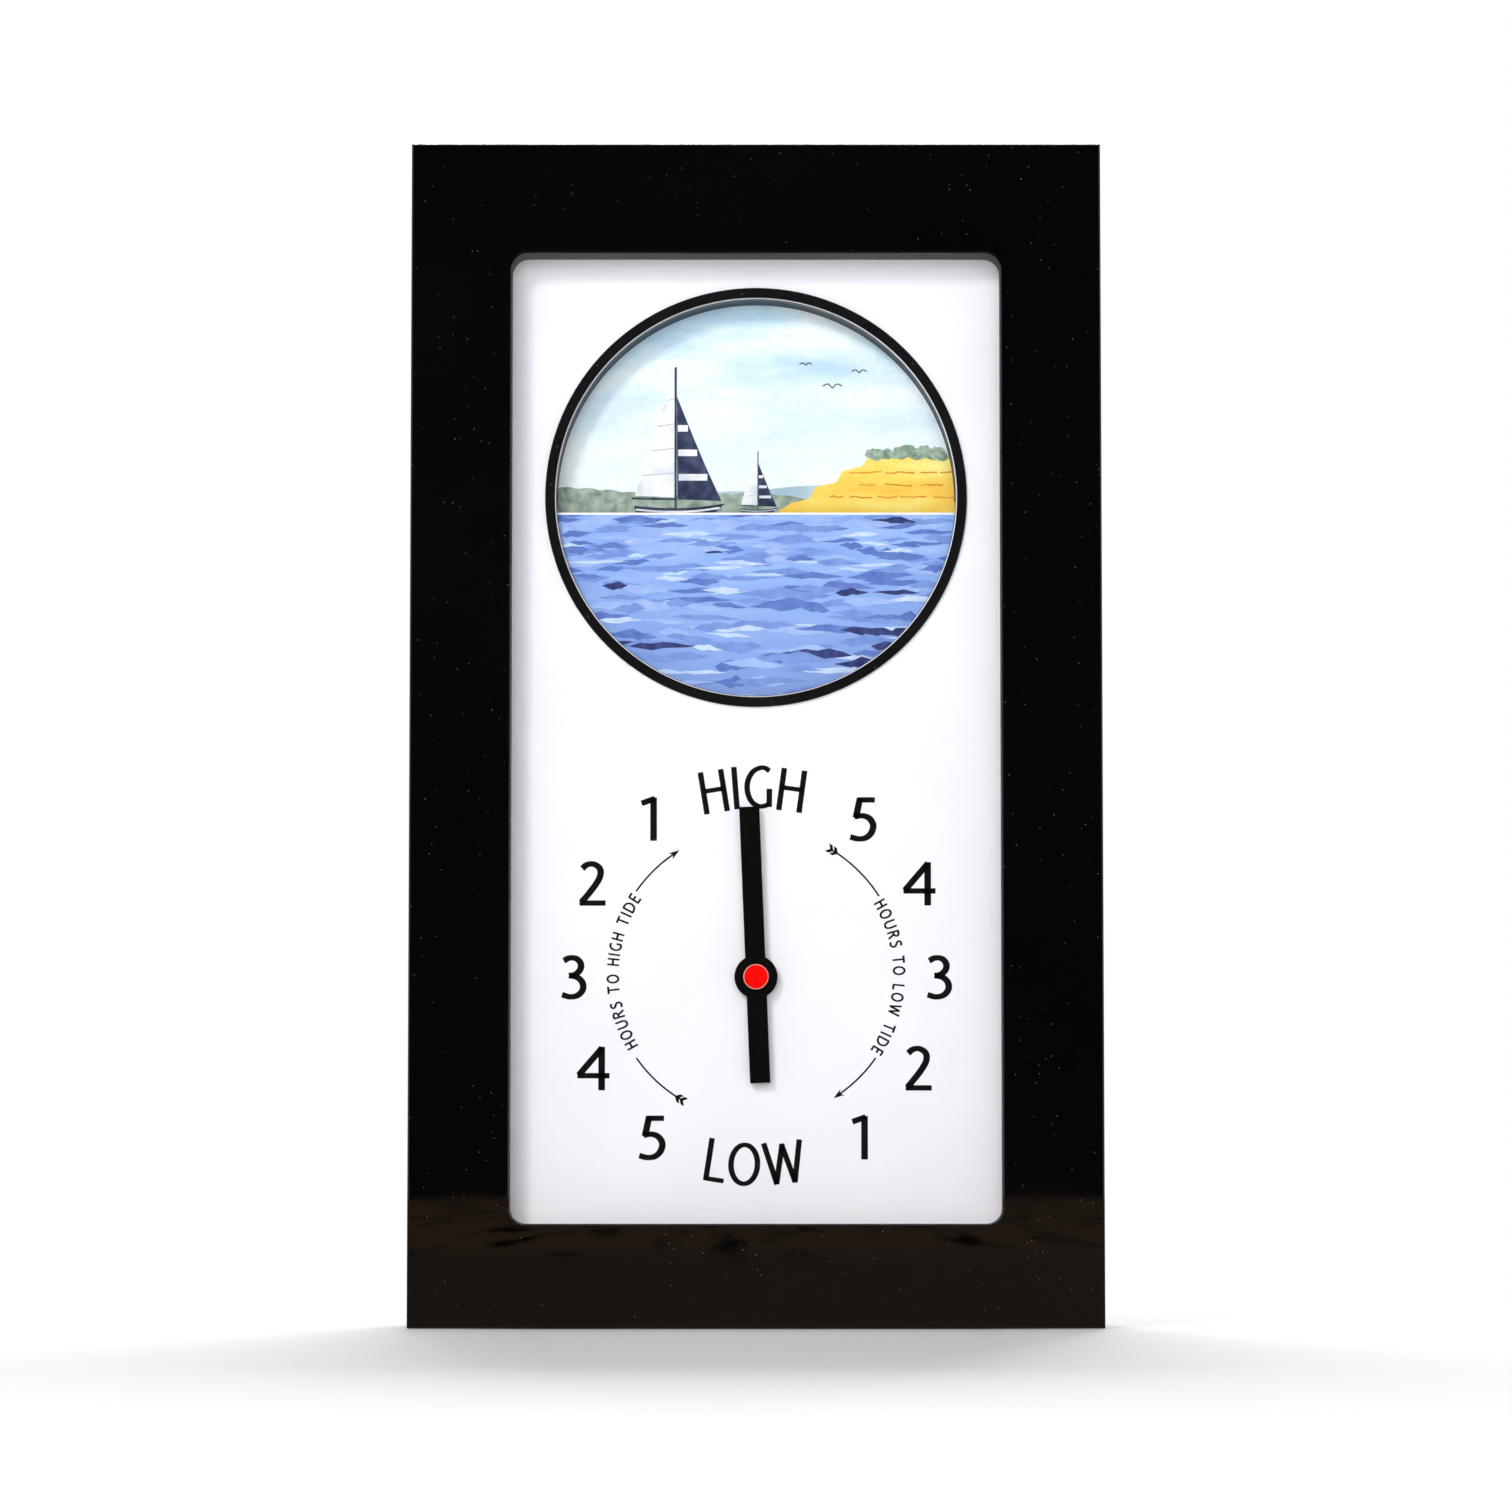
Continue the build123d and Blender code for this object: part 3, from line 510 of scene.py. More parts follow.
# small captions run clockwise along both sides
captions = {
    "left": ("HOURS TO HIGH TIDE", -121.0, -56.8), "right": ("HOURS TO LOW TIDE", 59.2, 123.4),
    "radius": 36.9 * mm, "rise": 0.8 * mm, "height": 3.05 * mm, "weight": 0.56 * mm, "space": 0.28,
}
captionBatch = newBatch()
captionZ = shaftZ + captions["rise"]
for words, start, end in (captions["left"], captions["right"]):
    widths = [letterShapes[letter][0] if letter != " " else captions["space"] for letter in words]
    length = math.radians(end - start) * captions["radius"] / captions["height"]
    track = (length - sum(widths)) / (len(words) - 1)
    run = 0.0
    for letter, width in zip(words, widths):
        angle = start + math.degrees((run + width / 2) * captions["height"] / captions["radius"])
        run += width + track
        if letter != " ":
            spot = onCircle(captionZ, captions["radius"], angle)
            addLetter(captionBatch, letter, spot, captions["height"], captions["weight"], angle)
makePiece("dial_captions", captionBatch, "case", [inkFinish])

# thin arrows lead on from the captions: a head at one end, a feathered tail at the other
arrows = {
    "radius": 37.6 * mm, "weight": 0.45 * mm, "heads": [(-55.3, -34.2), (125.0, 145.4)],
    "tails": [(-125.0, -150.0), (57.6, 30.6)], "steps": 14, "headLong": 2.9 * mm, "headHalf": 0.95 * mm,
    "notch": 0.9 * mm, "vaneSteps": (0.0, 1.35 * mm), "vaneLong": 1.0 * mm, "vaneBack": 0.95 * mm,
    "vaneHalf": 1.1 * mm,
}
arrowBatch = newBatch()
for kind in ("heads", "tails"):
    for start, end in arrows[kind]:
        turns = [start + (end - start) * step / arrows["steps"] for step in range(arrows["steps"] + 1)]
        arc = [onCircle(captionZ, arrows["radius"], turn) for turn in turns]
        addStroke(arrowBatch, arc, arrows["weight"], dialFace, ink["proud"], 1.0)
        ahead = (arc[-1] - arc[-2]).normalized()
        aside = Vector((-ahead.y, ahead.x))
        tip = arc[-1]
        if kind == "heads":
            point = tip + ahead * arrows["headLong"] * 0.6
            heel = point - ahead * arrows["headLong"]
            barb = aside * arrows["headHalf"]
            outline = [point, heel + barb, heel + ahead * arrows["notch"], heel - barb]
            addFlat(arrowBatch, outline, dialFace, ink["proud"])
        else:                                   # two pairs of slanted vanes
            for step in arrows["vaneSteps"]:
                root = tip - ahead * step
                for side in (-1, 1):
                    flick = ahead * arrows["vaneBack"] + aside * side * arrows["vaneHalf"]
                    foot = root - ahead * arrows["vaneLong"]
                    addFlat(arrowBatch, [foot, root, root + flick, foot + flick], dialFace, ink["proud"])
makePiece("dial_arrows", arrowBatch, "case", [inkFinish])
print("dial: numbers, words, captions and arrows printed")


# painted picture behind the porthole: washes of colour with a paper grain
def washFinish(name, look):
    finish, tree, shader, place = newFinish(name)
    pool = noise(tree, place, look["pool"], 5.0, look.get("stretch"))
    spread = look.get("spread", 0.2)
    tone = ramp(tree, pool, [(0.5 - spread, look["deep"]), (0.5, look["colour"]), (0.5 + spread, look["light"])])
    if "fade" in look:                      # the wash thins towards one height
        height = addNode(tree, "SeparateXYZ", {"Vector": place}).outputs["Z"]
        low, high, colour = look["fade"]
        tone = mixColour(tree, span(tree, height, low, high, 1.0, 0.0), tone, colour)
    pigment = noise(tree, place, look.get("pigment", 1500.0), 2.0)
    tone = mixColour(tree, span(tree, pigment, 0.42, 0.72, 0.0, 0.22), tone, look["deep"])
    tree.links.new(tone, shader.inputs["Base Color"])
    shader.inputs["Roughness"].default_value = 0.75
    shader.inputs["Specular IOR Level"].default_value = 0.25
    paper = addNode(tree, "Bump", {"Strength": 0.12, "Distance": 0.04 * mm, "Height": pigment})
    tree.links.new(paper.outputs["Normal"], shader.inputs["Normal"])
    return finish


boardFace = boardLow.y
horizonZ = panelHigh.z + 4.6 * mm
skyLook = {
    "colour": paint(216, 241, 252), "deep": paint(178, 216, 242), "light": paint(242, 252, 254), "pool": 58.0,
    "stretch": (0.5, 1.0, 1.6), "fade": (horizonZ, horizonZ + 42 * mm, paint(244, 252, 254)), "pigment": 900.0,
    "spread": 0.13,
}
dress(washFinish("painted_sky", skyLook), "backdrop_board")
pictureWidth = (boardHigh.x - boardLow.x) / 2 - 0.6 * mm


# a painted strip between a foot and a crest that is a function of x
def addCrest(batch, crest, foot, left, right, proud, columns=90):
    outline = [Vector((left, foot)), Vector((right, foot))]
    for column in range(columns + 1):
        x = right + (left - right) * column / columns
        outline.append(Vector((x, max(foot + 0.1 * mm, crest(x)))))
    addFlat(batch, outline, boardFace, proud)


def ease(x, start, end):
    share = min(1.0, max(0.0, (x - start) / (end - start)))
    return share * share * (3 - 2 * share)


# shore that shows when the water is low
shoreLook = {
    "colour": paint(244, 214, 140), "deep": paint(222, 184, 108), "light": paint(250, 230, 170), "pool": 60.0,
    "stretch": (0.4, 1.0, 1.6), "fade": (boardLow.z + 6 * mm, boardLow.z + 30 * mm, paint(206, 178, 128)),
}
shoreBatch = newBatch()
addCrest(shoreBatch, lambda x: horizonZ - 2.2 * mm + 0.5 * mm * math.sin(x * 90), boardLow.z + 0.5 * mm,
         -pictureWidth, pictureWidth, 0.06 * mm)
makePiece("picture_shore", shoreBatch, "case", [washFinish("painted_shore", shoreLook)])

# two ranges of far hills along the horizon, the nearer one wooded at the left
hills = [
    {"name": "picture_far_hills", "rise": 6.0 * mm, "fall": 26.0 * mm, "waves": (62, 131), "proud": 0.09 * mm,
     "colour": paint(190, 212, 222), "deep": paint(166, 192, 206), "light": paint(212, 228, 232), "pool": 60.0},
    {"name": "picture_woods", "rise": 5.4 * mm, "fall": -8.0 * mm, "waves": (91, 540), "proud": 0.12 * mm,
     "colour": paint(160, 178, 164), "deep": paint(116, 138, 124), "light": paint(190, 203, 188), "pool": 420.0},
]


def buildHill(look):
    def crest(x):
        slow, quick = look["waves"]
        roll = 0.72 + 0.2 * math.sin(x * slow) + 0.08 * abs(math.sin(x * quick))
        return horizonZ - 2.4 * mm + look["rise"] * roll * (1 - ease(x, look["fall"], look["fall"] + 36 * mm) * 0.9)

    batch = newBatch()
    addCrest(batch, crest, horizonZ - 4 * mm, -pictureWidth, pictureWidth, look["proud"], 220)
    makePiece(look["name"], batch, "case", [washFinish(look["name"] + "_wash", look)])


for hill in hills:
    buildHill(hill)

# golden bluff at the right: a flat top that steps down to the sea, with bands of stone
bluff = {
    "top": 14.0 * mm, "proud": 0.16 * mm, "bands": (0.24, 0.46, 0.7), "bandWeight": 0.4 * mm,
    "steps": [(6.0, 0.0), (10.0, 0.14), (13.5, 0.2), (16.0, 0.44), (20.5, 0.5), (23.0, 0.74), (27.0, 0.8),
              (29.5, 0.96), (40.0, 1.0), (57.0, 0.94)],          # x in mm and share of the top
}
bluffLook = {
    "colour": paint(255, 222, 104), "deep": paint(250, 190, 66), "light": paint(255, 244, 150), "pool": 90.0,
    "stretch": (0.5, 1.0, 1.6),
}
stoneLook = {"colour": paint(226, 160, 62), "deep": paint(204, 136, 50), "light": paint(240, 184, 92), "pool": 300.0}


def bluffCrest(x):
    for (x0, h0), (x1, h1) in zip(bluff["steps"], bluff["steps"][1:]):
        if x <= x1 * mm:
            return horizonZ - 3 * mm + bluff["top"] * (h0 + (h1 - h0) * ease(x, x0 * mm, x1 * mm))
    return horizonZ - 3 * mm + bluff["top"] * bluff["steps"][-1][1]


bluffBatch = newBatch()
bluffLeft = bluff["steps"][0][0] * mm
addCrest(bluffBatch, bluffCrest, horizonZ - 6 * mm, bluffLeft, pictureWidth, bluff["proud"], 110)
bandDice = random.Random(8)
for share in bluff["bands"]:
    level = horizonZ - 3 * mm + bluff["top"] * share
    x = bluffLeft
    while x < pictureWidth - 8 * mm:
        end = min(x + bandDice.uniform(3.0, 9.0) * mm, pictureWidth - 1 * mm)
        if bluffCrest(x) > level + 0.8 * mm:
            seam = [Vector((x + (end - x) * t / 4, level + bandDice.uniform(-0.25, 0.25) * mm)) for t in range(5)]
            front = boardFace - bluff["proud"]
            addStroke(bluffBatch, smoothLine(seam, 4), bluff["bandWeight"], front, 0.03 * mm, 1.0, 1)
        x = end + bandDice.uniform(0.5, 3.0) * mm
bluffFinishes = [washFinish("painted_bluff", bluffLook), washFinish("painted_stone", stoneLook)]
makePiece("picture_bluff", bluffBatch, "case", bluffFinishes)

# low bushes on top of the bluff, each a few ragged balls of leaves
bushes = {"places": (30.5, 33.0, 36.5, 38.5, 43.0, 45.5, 48.0, 51.0), "ball": 2.1 * mm, "seed": 11,
          "proud": 0.22 * mm, "lift": 0.0002 * mm}
bushLooks = [
    {"colour": paint(163, 181, 166), "deep": paint(122, 146, 128), "light": paint(192, 206, 190), "pool": 700.0},
    {"colour": paint(132, 156, 136), "deep": paint(98, 124, 104), "light": paint(160, 180, 162), "pool": 700.0},
]
bushDice = random.Random(bushes["seed"])
bushBatch = newBatch()
for place in bushes["places"]:
    for layer in range(3):
        x = (place + bushDice.uniform(-1.6, 1.6)) * mm
        ball = bushes["ball"] * bushDice.uniform(0.6, 1.1)
        middle = Vector((x, bluffCrest(x) + ball * bushDice.uniform(0.3, 0.7)))
        leaves = []
        for step in range(26):
            turn = 2 * math.pi * step / 26
            reach = ball * bushDice.uniform(0.82, 1.08)
            leaves.append(middle + Vector((reach * math.cos(turn), reach * 0.8 * math.sin(turn))))
        addFlat(bushBatch, leaves, boardFace, bushes["proud"] + bushes["lift"] * len(bushBatch["faces"]), layer % 2)
bushFinishes = [washFinish(f"painted_bush_{place}", look) for place, look in enumerate(bushLooks)]
makePiece("picture_bushes", bushBatch, "case", bushFinishes)

# sailing boats: hull with a pale stripe, mast, mainsail with battens and a dark jib
boats = [
    {"x": -21.0 * mm, "long": 23.0 * mm, "foot": -6.0 * mm, "proud": 0.26 * mm},
    {"x": 0.5 * mm, "long": 9.5 * mm, "foot": -4.4 * mm, "proud": 0.2 * mm},
]
boatLooks = [
    {"colour": paint(56, 64, 94), "deep": paint(38, 44, 70), "light": paint(84, 92, 120), "pool": 260.0},
    {"colour": paint(244, 246, 247), "deep": paint(206, 214, 224), "light": paint(253, 254, 254), "pool": 160.0},
    {"colour": paint(196, 206, 220), "deep": paint(172, 184, 202), "light": paint(214, 222, 232), "pool": 300.0},
]
boatBatch = newBatch()


def addBoat(batch, look):
    long, foot = look["long"], horizonZ + look["foot"]

    def at(across, up):
        return Vector((look["x"] + across * long, foot + up * long))

    keel = smoothLine([at(-0.44, 0.06), at(-0.3, 0.0), at(0.0, -0.01), at(0.32, 0.02), at(0.56, 0.2)], 6)
    sheer = smoothLine([at(0.56, 0.2), at(0.2, 0.155), at(-0.15, 0.15), at(-0.47, 0.175)], 6)
    main = [at(-0.015, 0.27)] + smoothLine([at(-0.015, 1.72), at(-0.16, 1.24), at(-0.34, 0.72), at(-0.46, 0.29)], 6)
    jib = [at(0.02, 0.25)] + smoothLine([at(0.52, 0.23), at(0.3, 0.72), at(0.015, 1.42)], 6)
    addFlat(batch, keel + sheer[1:], boardFace, look["proud"], 0)
    addStroke(batch, smoothLine([at(0.5, 0.15), at(0.2, 0.112), at(-0.15, 0.108), at(-0.45, 0.13)], 6),
              long * 0.022, boardFace, look["proud"] * 1.2, 1.0, 1)
    addStroke(batch, [at(0.0, 0.12), at(0.0, 1.76)], long * 0.022, boardFace, look["proud"] * 1.3, 1.0, 0)
    addStroke(batch, [at(-0.5, 0.26), at(0.0, 0.25)], long * 0.018, boardFace, look["proud"] * 1.3, 1.0, 0)
    addFlat(batch, main, boardFace, look["proud"], 1)
    for height, reach in ((0.55, 0.38), (0.83, 0.295), (1.11, 0.205), (1.4, 0.11)):
        addStroke(batch, [at(-0.02, height), at(-reach, height - 0.03)], long * 0.012, boardFace,
                  look["proud"] * 1.15, 1.0, 2)
    addFlat(batch, jib, boardFace, look["proud"], 0)
    for height, low, high in ((0.5, 0.035, 0.36), (0.78, 0.03, 0.245), (1.06, 0.025, 0.14)):
        addStroke(batch, [at(low, height), at(high, height)], long * 0.075, boardFace, look["proud"] * 1.15, 1.0, 1)


for boat in boats:
    addBoat(boatBatch, boat)
boatFinishes = [washFinish(f"painted_boat_{place}", look) for place, look in enumerate(boatLooks)]
makePiece("picture_boats", boatBatch, "case", boatFinishes)

# a few gulls
gulls = {"places": [(20.0, 29.0, 2.6), (27.0, 33.0, 2.0), (13.0, 35.0, 1.6)], "weight": 0.28 * mm}
gullBatch = newBatch()
for x, rise, wing in gulls["places"]:
    body = Vector((x * mm, horizonZ + rise * mm))
    for side in (-1, 1):
        arch = [body, body + Vector((side * 0.45, 0.42)) * wing * mm, body + Vector((side, 0.2)) * wing * mm]
        addStroke(gullBatch, smoothLine(arch, 5), gulls["weight"], boardFace, 0.1 * mm, 1.0)
makePiece("picture_gulls", gullBatch, "case", [boatFinishes[0]])
print("picture: shore, hills, bluff, bushes, boats and gulls painted")

# water panel: a wash that deepens downwards, and ripples that grow towards the viewer
waterLook = {
    "colour": paint(146, 179, 240), "deep": paint(130, 162, 228), "light": paint(162, 193, 246), "pool": 120.0,
    "stretch": (0.35, 1.0, 1.6), "fade": (panelHigh.z - 50 * mm, panelHigh.z - 14 * mm, paint(132, 160, 222)),
    "pigment": 1100.0,
}
dress(washFinish("painted_water", waterLook), "water_panel")
waterFace = panelLow.y
ripples = {
    "rows": 30, "seed": 23, "topLong": 13.0 * mm, "footLong": 20.0 * mm, "topTall": 2.2 * mm, "footTall": 3.8 * mm,
    "half": 55.0 * mm, "foot": 52.0 * mm, "proud": 0.05 * mm, "lift": 0.00003 * mm, "steps": 6,
}
rippleLooks = [
    {"colour": paint(196, 216, 248), "deep": paint(176, 200, 242), "light": paint(216, 230, 252), "pool": 300.0},
    {"colour": paint(160, 186, 241), "deep": paint(150, 176, 234), "light": paint(172, 196, 245), "pool": 300.0},
    {"colour": paint(122, 152, 219), "deep": paint(112, 141, 210), "light": paint(132, 162, 226), "pool": 300.0},
    {"colour": paint(98, 124, 198), "deep": paint(86, 110, 184), "light": paint(110, 137, 208), "pool": 300.0},
    {"colour": paint(58, 68, 122), "deep": paint(46, 54, 104), "light": paint(74, 86, 142), "pool": 500.0},
]
rippleDice = random.Random(ripples["seed"])
rippleBatch = newBatch()
for row in range(ripples["rows"]):
    share = row / (ripples["rows"] - 1)
    long = ripples["topLong"] + (ripples["footLong"] - ripples["topLong"]) * share
    tall = ripples["topTall"] + (ripples["footTall"] - ripples["topTall"]) * share
    level = panelHigh.z - 1.2 * mm - ripples["foot"] * share ** 1.25
    x = -ripples["half"] - rippleDice.random() * long
    while x < ripples["half"]:
        tone = rippleDice.random()
        limits = (0.06 + 0.2 * share, 0.3 + 0.12 * share, 0.68, 1.0 - 0.2 * share)      # pale to darkest
        mark = sum(tone >= limit for limit in limits)
        size = long * rippleDice.uniform(0.45, 1.15)
        swell = tall * rippleDice.uniform(0.45, 1.0) * (0.7 if mark == 0 else 1.0)
        tilt = tall * rippleDice.uniform(-0.35, 0.35)
        crestAt = rippleDice.uniform(0.3, 0.7)
        z = level + rippleDice.uniform(-0.8, 0.8) * tall
        lilt = rippleDice.uniform(0, 2 * math.pi)
        upper, lower = [], []
        for step in range(ripples["steps"] + 1):
            t = step / ripples["steps"]
            arch = math.sin(math.pi * t ** (math.log(0.5) / math.log(crestAt)))
            curl = 0.17 * math.sin(4 * math.pi * t + lilt)
            base = z + tilt * (t - 0.5)
            upper.append(Vector((x + size * t, base + swell * arch * (0.5 + curl))))
            lower.append(Vector((x + size * t, base - swell * arch * (0.35 - curl * 0.9))))
        outline = upper + lower[-2:0:-1]
        if max(abs(p.x) for p in outline) < ripples["half"] + 4 * mm and max(p.y for p in outline) < panelHigh.z:
            addFlat(rippleBatch, outline, waterFace, ripples["proud"] + ripples["lift"] * len(rippleBatch["faces"]), mark)
        x += size * rippleDice.uniform(0.5, 1.05)
rippleFinishes = [washFinish(f"painted_ripple_{place}", look) for place, look in enumerate(rippleLooks)]
makePiece("water_ripples", rippleBatch, "water", rippleFinishes)

# pale line along the water's edge
waterEdge = {"tall": 0.55 * mm, "proud": 0.12 * mm}
edgeLook = {"colour": paint(246, 249, 252), "deep": paint(222, 232, 244), "light": paint(252, 253, 254), "pool": 240.0}
edgeBatch = newBatch()
edgeOutline = [Vector((x, z)) for x, z in (
    (panelLow.x, panelHigh.z - waterEdge["tall"]), (panelHigh.x, panelHigh.z - waterEdge["tall"]),
    (panelHigh.x, panelHigh.z), (panelLow.x, panelHigh.z),
)]
addFlat(edgeBatch, edgeOutline, waterFace, waterEdge["proud"])
makePiece("water_line", edgeBatch, "water", [washFinish("painted_edge", edgeLook)])
print("water:", len(rippleBatch["faces"]), "ripple faces")

# countersunk screws with a cross recess, in place of the plain ones
screw = {"head": 3.4 * mm, "shank": 1.4 * mm, "sides": 32, "cross": 2.3 * mm, "slot": 0.5 * mm, "deep": 1.3 * mm}
screwLook = {
    "colour": paint(196, 197, 199), "shade": paint(182, 183, 186), "cloud": 90.0, "grain": 700.0,
    "rough": (0.26, 0.36), "edge": 0.1 * mm, "bump": 0.04, "depth": 0.03 * mm, "metal": 1.0,
}
# painted shade: the cross recess is drawn dark where its hollow lies in shade
shadedRecessLook = dict(screwLook, colour=paint(58, 58, 60), shade=paint(44, 44, 46), rough=(0.5, 0.6), metal=0.5)


def buildScrews(look):
    low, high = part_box("back_screws")
    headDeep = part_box("back_cover")[1].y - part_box("back_cover")[0].y
    shape = bmesh.new()
    for x in (low.x + look["head"], high.x - look["head"]):
        for z in (low.z + look["head"], high.z - look["head"]):
            def ring(radius, y):
                turns = [2 * math.pi * side / look["sides"] for side in range(look["sides"])]
                return [shape.verts.new((x + radius * math.cos(a), y, z + radius * math.sin(a))) for a in turns]

            def cross(reach, half, y):
                arm = [(reach, -half), (reach, half), (half, half)]
                spots = []
                for quarter in range(4):
                    c, s = ((1, 0), (0, 1), (-1, 0), (0, -1))[quarter]
                    spots += [(px * c - pz * s, px * s + pz * c) for px, pz in arm]
                return [shape.verts.new((x + px, y, z + pz)) for px, pz in spots]

            def wall(first, second, mark=0):
                for a in range(len(first)):
                    b = (a + 1) % len(first)
                    shape.faces.new((first[a], first[b], second[b], second[a])).material_index = mark

            rim = ring(look["head"], high.y)
            neck = ring(look["shank"], high.y - headDeep)
            end = ring(look["shank"] * 0.9, low.y)
            mouth = cross(look["cross"], look["slot"], high.y)
            bed = cross(look["cross"] * 0.55, look["slot"] * 0.7, high.y - look["deep"])
            wall(rim, neck)
            wall(neck, end)
            # the recess walls and bed take the painted shade finish
            wall(bed, mouth, 1)
            shape.faces.new(end)
            shape.faces.new(bed).material_index = 1
            loops = [shape.edges.get((loop[a], loop[a - 1])) or shape.edges.new((loop[a], loop[a - 1]))
                     for loop in (rim, mouth) for a in range(len(loop))]
            bmesh.ops.triangle_fill(shape, use_beauty=True, edges=loops)
    bmesh.ops.recalc_face_normals(shape, faces=shape.faces)
    mesh = bpy.data.meshes.new("screw_heads")
    shape.to_mesh(mesh)
    shape.free()
    mesh.materials.append(grainFinish("screw_steel", screwLook)[0])
    mesh.materials.append(grainFinish("screw_recess_painted_shade", shadedRecessLook)[0])
    piece = bpy.data.objects.new("screw_heads", mesh)
    bpy.context.scene.collection.objects.link(piece)
    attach(piece, "case")
    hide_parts("back_screws")


buildScrews(screw)

# battery: turned shape with a rolled shoulder, a two-tone sleeve and bare ends
cell = {"sides": 40, "nub": 1.0 * mm, "nubRadius": 2.75 * mm, "shoulder": 0.7 * mm, "bandShare": 0.3, "rimRadius": 5.6 * mm}
sleeveLook = {
    "colour": paint(52, 54, 58), "shade": paint(42, 44, 48), "cloud": 120.0, "grain": 900.0, "rough": (0.28, 0.36),
    "edge": 0.1 * mm, "bump": 0.02, "depth": 0.02 * mm, "metal": 0.6, "coat": 0.4,
}
bandLook = dict(sleeveLook, colour=paint(196, 150, 92), shade=paint(182, 134, 76), metal=0.8)


def buildBattery(look):
    low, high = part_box("battery")
    middleY, middleZ, radius = (low.y + high.y) / 2, (low.z + high.z) / 2, (high.z - low.z) / 2
    end = high.x - look["nub"]
    split = end - (end - low.x) * look["bandShare"]
    soft = look["shoulder"]
    profile = [   # x, radius and finish of the stretch that follows
        (low.x, look["rimRadius"], 0), (low.x, radius - soft, 0), (low.x + soft * 0.3, radius - soft * 0.3, 1),
        (low.x + soft, radius, 1), (split, radius, 2), (end - soft, radius, 2), (end - soft * 0.3, radius - soft * 0.3, 0),
        (end, radius - soft, 0), (end - soft * 0.4, look["rimRadius"], 0), (end - soft * 0.4, look["nubRadius"] * 1.05, 0),
        (high.x - soft * 0.3, look["nubRadius"], 0), (high.x, look["nubRadius"] - soft * 0.4, 0),
    ]
    batch = newBatch()
    for x, reach, _ in profile:
        for side in range(look["sides"]):
            turn = 2 * math.pi * side / look["sides"]
            batch["corners"].append((x, middleY + reach * math.cos(turn), middleZ + reach * math.sin(turn)))
    for row, (_, _, mark) in enumerate(profile[:-1]):
        for side in range(look["sides"]):
            a, b = row * look["sides"] + side, row * look["sides"] + (side + 1) % look["sides"]
            addFace(batch, [b, a, a + look["sides"], b + look["sides"]], mark)
    addFace(batch, list(range(look["sides"])))
    last = (len(profile) - 1) * look["sides"]
    addFace(batch, list(range(last, last + look["sides"]))[::-1])
    finishes = [steelFinish, grainFinish("cell_sleeve", sleeveLook)[0], grainFinish("cell_band", bandLook)[0]]
    piece = makePiece("battery_cell", batch, "case", finishes, smooth=True)
    piece.data.set_sharp_from_angle(angle=math.radians(35))
    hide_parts("battery")


buildBattery(cell)
print("back: screws and battery built")

# pale floor, lit plainly near the clock and fading to white further out; glossy rays see it glow as dim earth, a
# painted reflection
floorLook = {
    "half": 14.0, "colour": paint(235, 235, 234), "near": 0.4, "far": 1.6, "rearHaste": 4.0, "sideHaste": 7.0,
    "reflectedEarth": paint(156, 125, 92), "reflectedSoil": paint(24, 17, 12), "clods": 30.0, "clodStretch": (1.0, 0.04, 1.0),
    "dust": paint(126, 111, 96), "bare": (1.1, 1.9), "rear": paint(150, 150, 152), "turn": (-0.05, 0.15),
}


def buildFloor(look):
    batch = newBatch()
    drop = cadBox[0].z - 0.2 * mm
    batch["corners"] = [(x * look["half"], y * look["half"], drop) for x, y in ((-1, -1), (1, -1), (1, 1), (-1, 1))]
    mesh = bpy.data.meshes.new("floor")
    mesh.from_pydata(batch["corners"], [], [(0, 1, 2, 3)])
    floor = bpy.data.objects.new("floor", mesh)
    bpy.context.scene.collection.objects.link(floor)
    finish, tree, shader, place = newFinish("floor_pale")
    shader.inputs["Base Color"].default_value = look["colour"]
    shader.inputs["Roughness"].default_value = 0.9
    shader.inputs["Specular IOR Level"].default_value = 0.1
    spot = addNode(tree, "SeparateXYZ", {"Vector": place})
    depth = sums(tree, "MAXIMUM", sums(tree, "MULTIPLY", spot.outputs["Y"], look["rearHaste"]),
                 sums(tree, "MULTIPLY", spot.outputs["Y"], -1.0))      # sooner white behind the clock
    side = sums(tree, "MULTIPLY", spot.outputs["X"], look["sideHaste"])
    flat = addNode(tree, "CombineXYZ", {"X": side, "Y": depth}).outputs["Vector"]
    reach = addNode(tree, "VectorMath", {0: flat}, operation="LENGTH").outputs["Value"]
    away = span(tree, reach, look["near"], look["far"], 0.0, 1.0)
    path = addNode(tree, "LightPath")
    white = addNode(tree, "Emission", {"Color": (1.0, 1.0, 1.0, 1.0), "Strength": 1.0})
    seen = sums(tree, "MULTIPLY", away, path.outputs["Is Camera Ray"])
    both = addNode(tree, "MixShader", {0: seen, 1: shader.outputs["BSDF"], 2: white.outputs["Emission"]})
    # painted reflection: glossy rays see glowing brown earth with dark clods, dusty near the clock and grey behind it
    clods = noise(tree, place, look["clods"], 7.0, look["clodStretch"])
    reflectedGround = ramp(tree, clods, [(0.4, look["reflectedSoil"]), (0.44, look["reflectedEarth"])])
    straight = addNode(tree, "VectorMath", {0: place}, operation="LENGTH").outputs["Value"]
    reflectedGround = mixColour(tree, span(tree, straight, *look["bare"], 1.0, 0.0), reflectedGround, look["dust"])
    reflectedGround = mixColour(tree, span(tree, spot.outputs["Y"], *look["turn"], 0.0, 1.0), reflectedGround, look["rear"])
    reflectedEarth = addNode(tree, "Emission", {"Color": reflectedGround, "Strength": 1.0})
    mirrored = addNode(tree, "MixShader", {
        0: path.outputs["Is Glossy Ray"], 1: both.outputs["Shader"], 2: reflectedEarth.outputs["Emission"],
    })
    tree.links.new(mirrored.outputs["Shader"], tree.nodes["Material Output"].inputs["Surface"])
    mesh.materials.append(finish)


buildFloor(floorLook)

# white surroundings for the camera, soft light mostly from the front, a dim room before the gloss
room = {"front": 0.22, "behind": 0.32, "dim": 0.02}


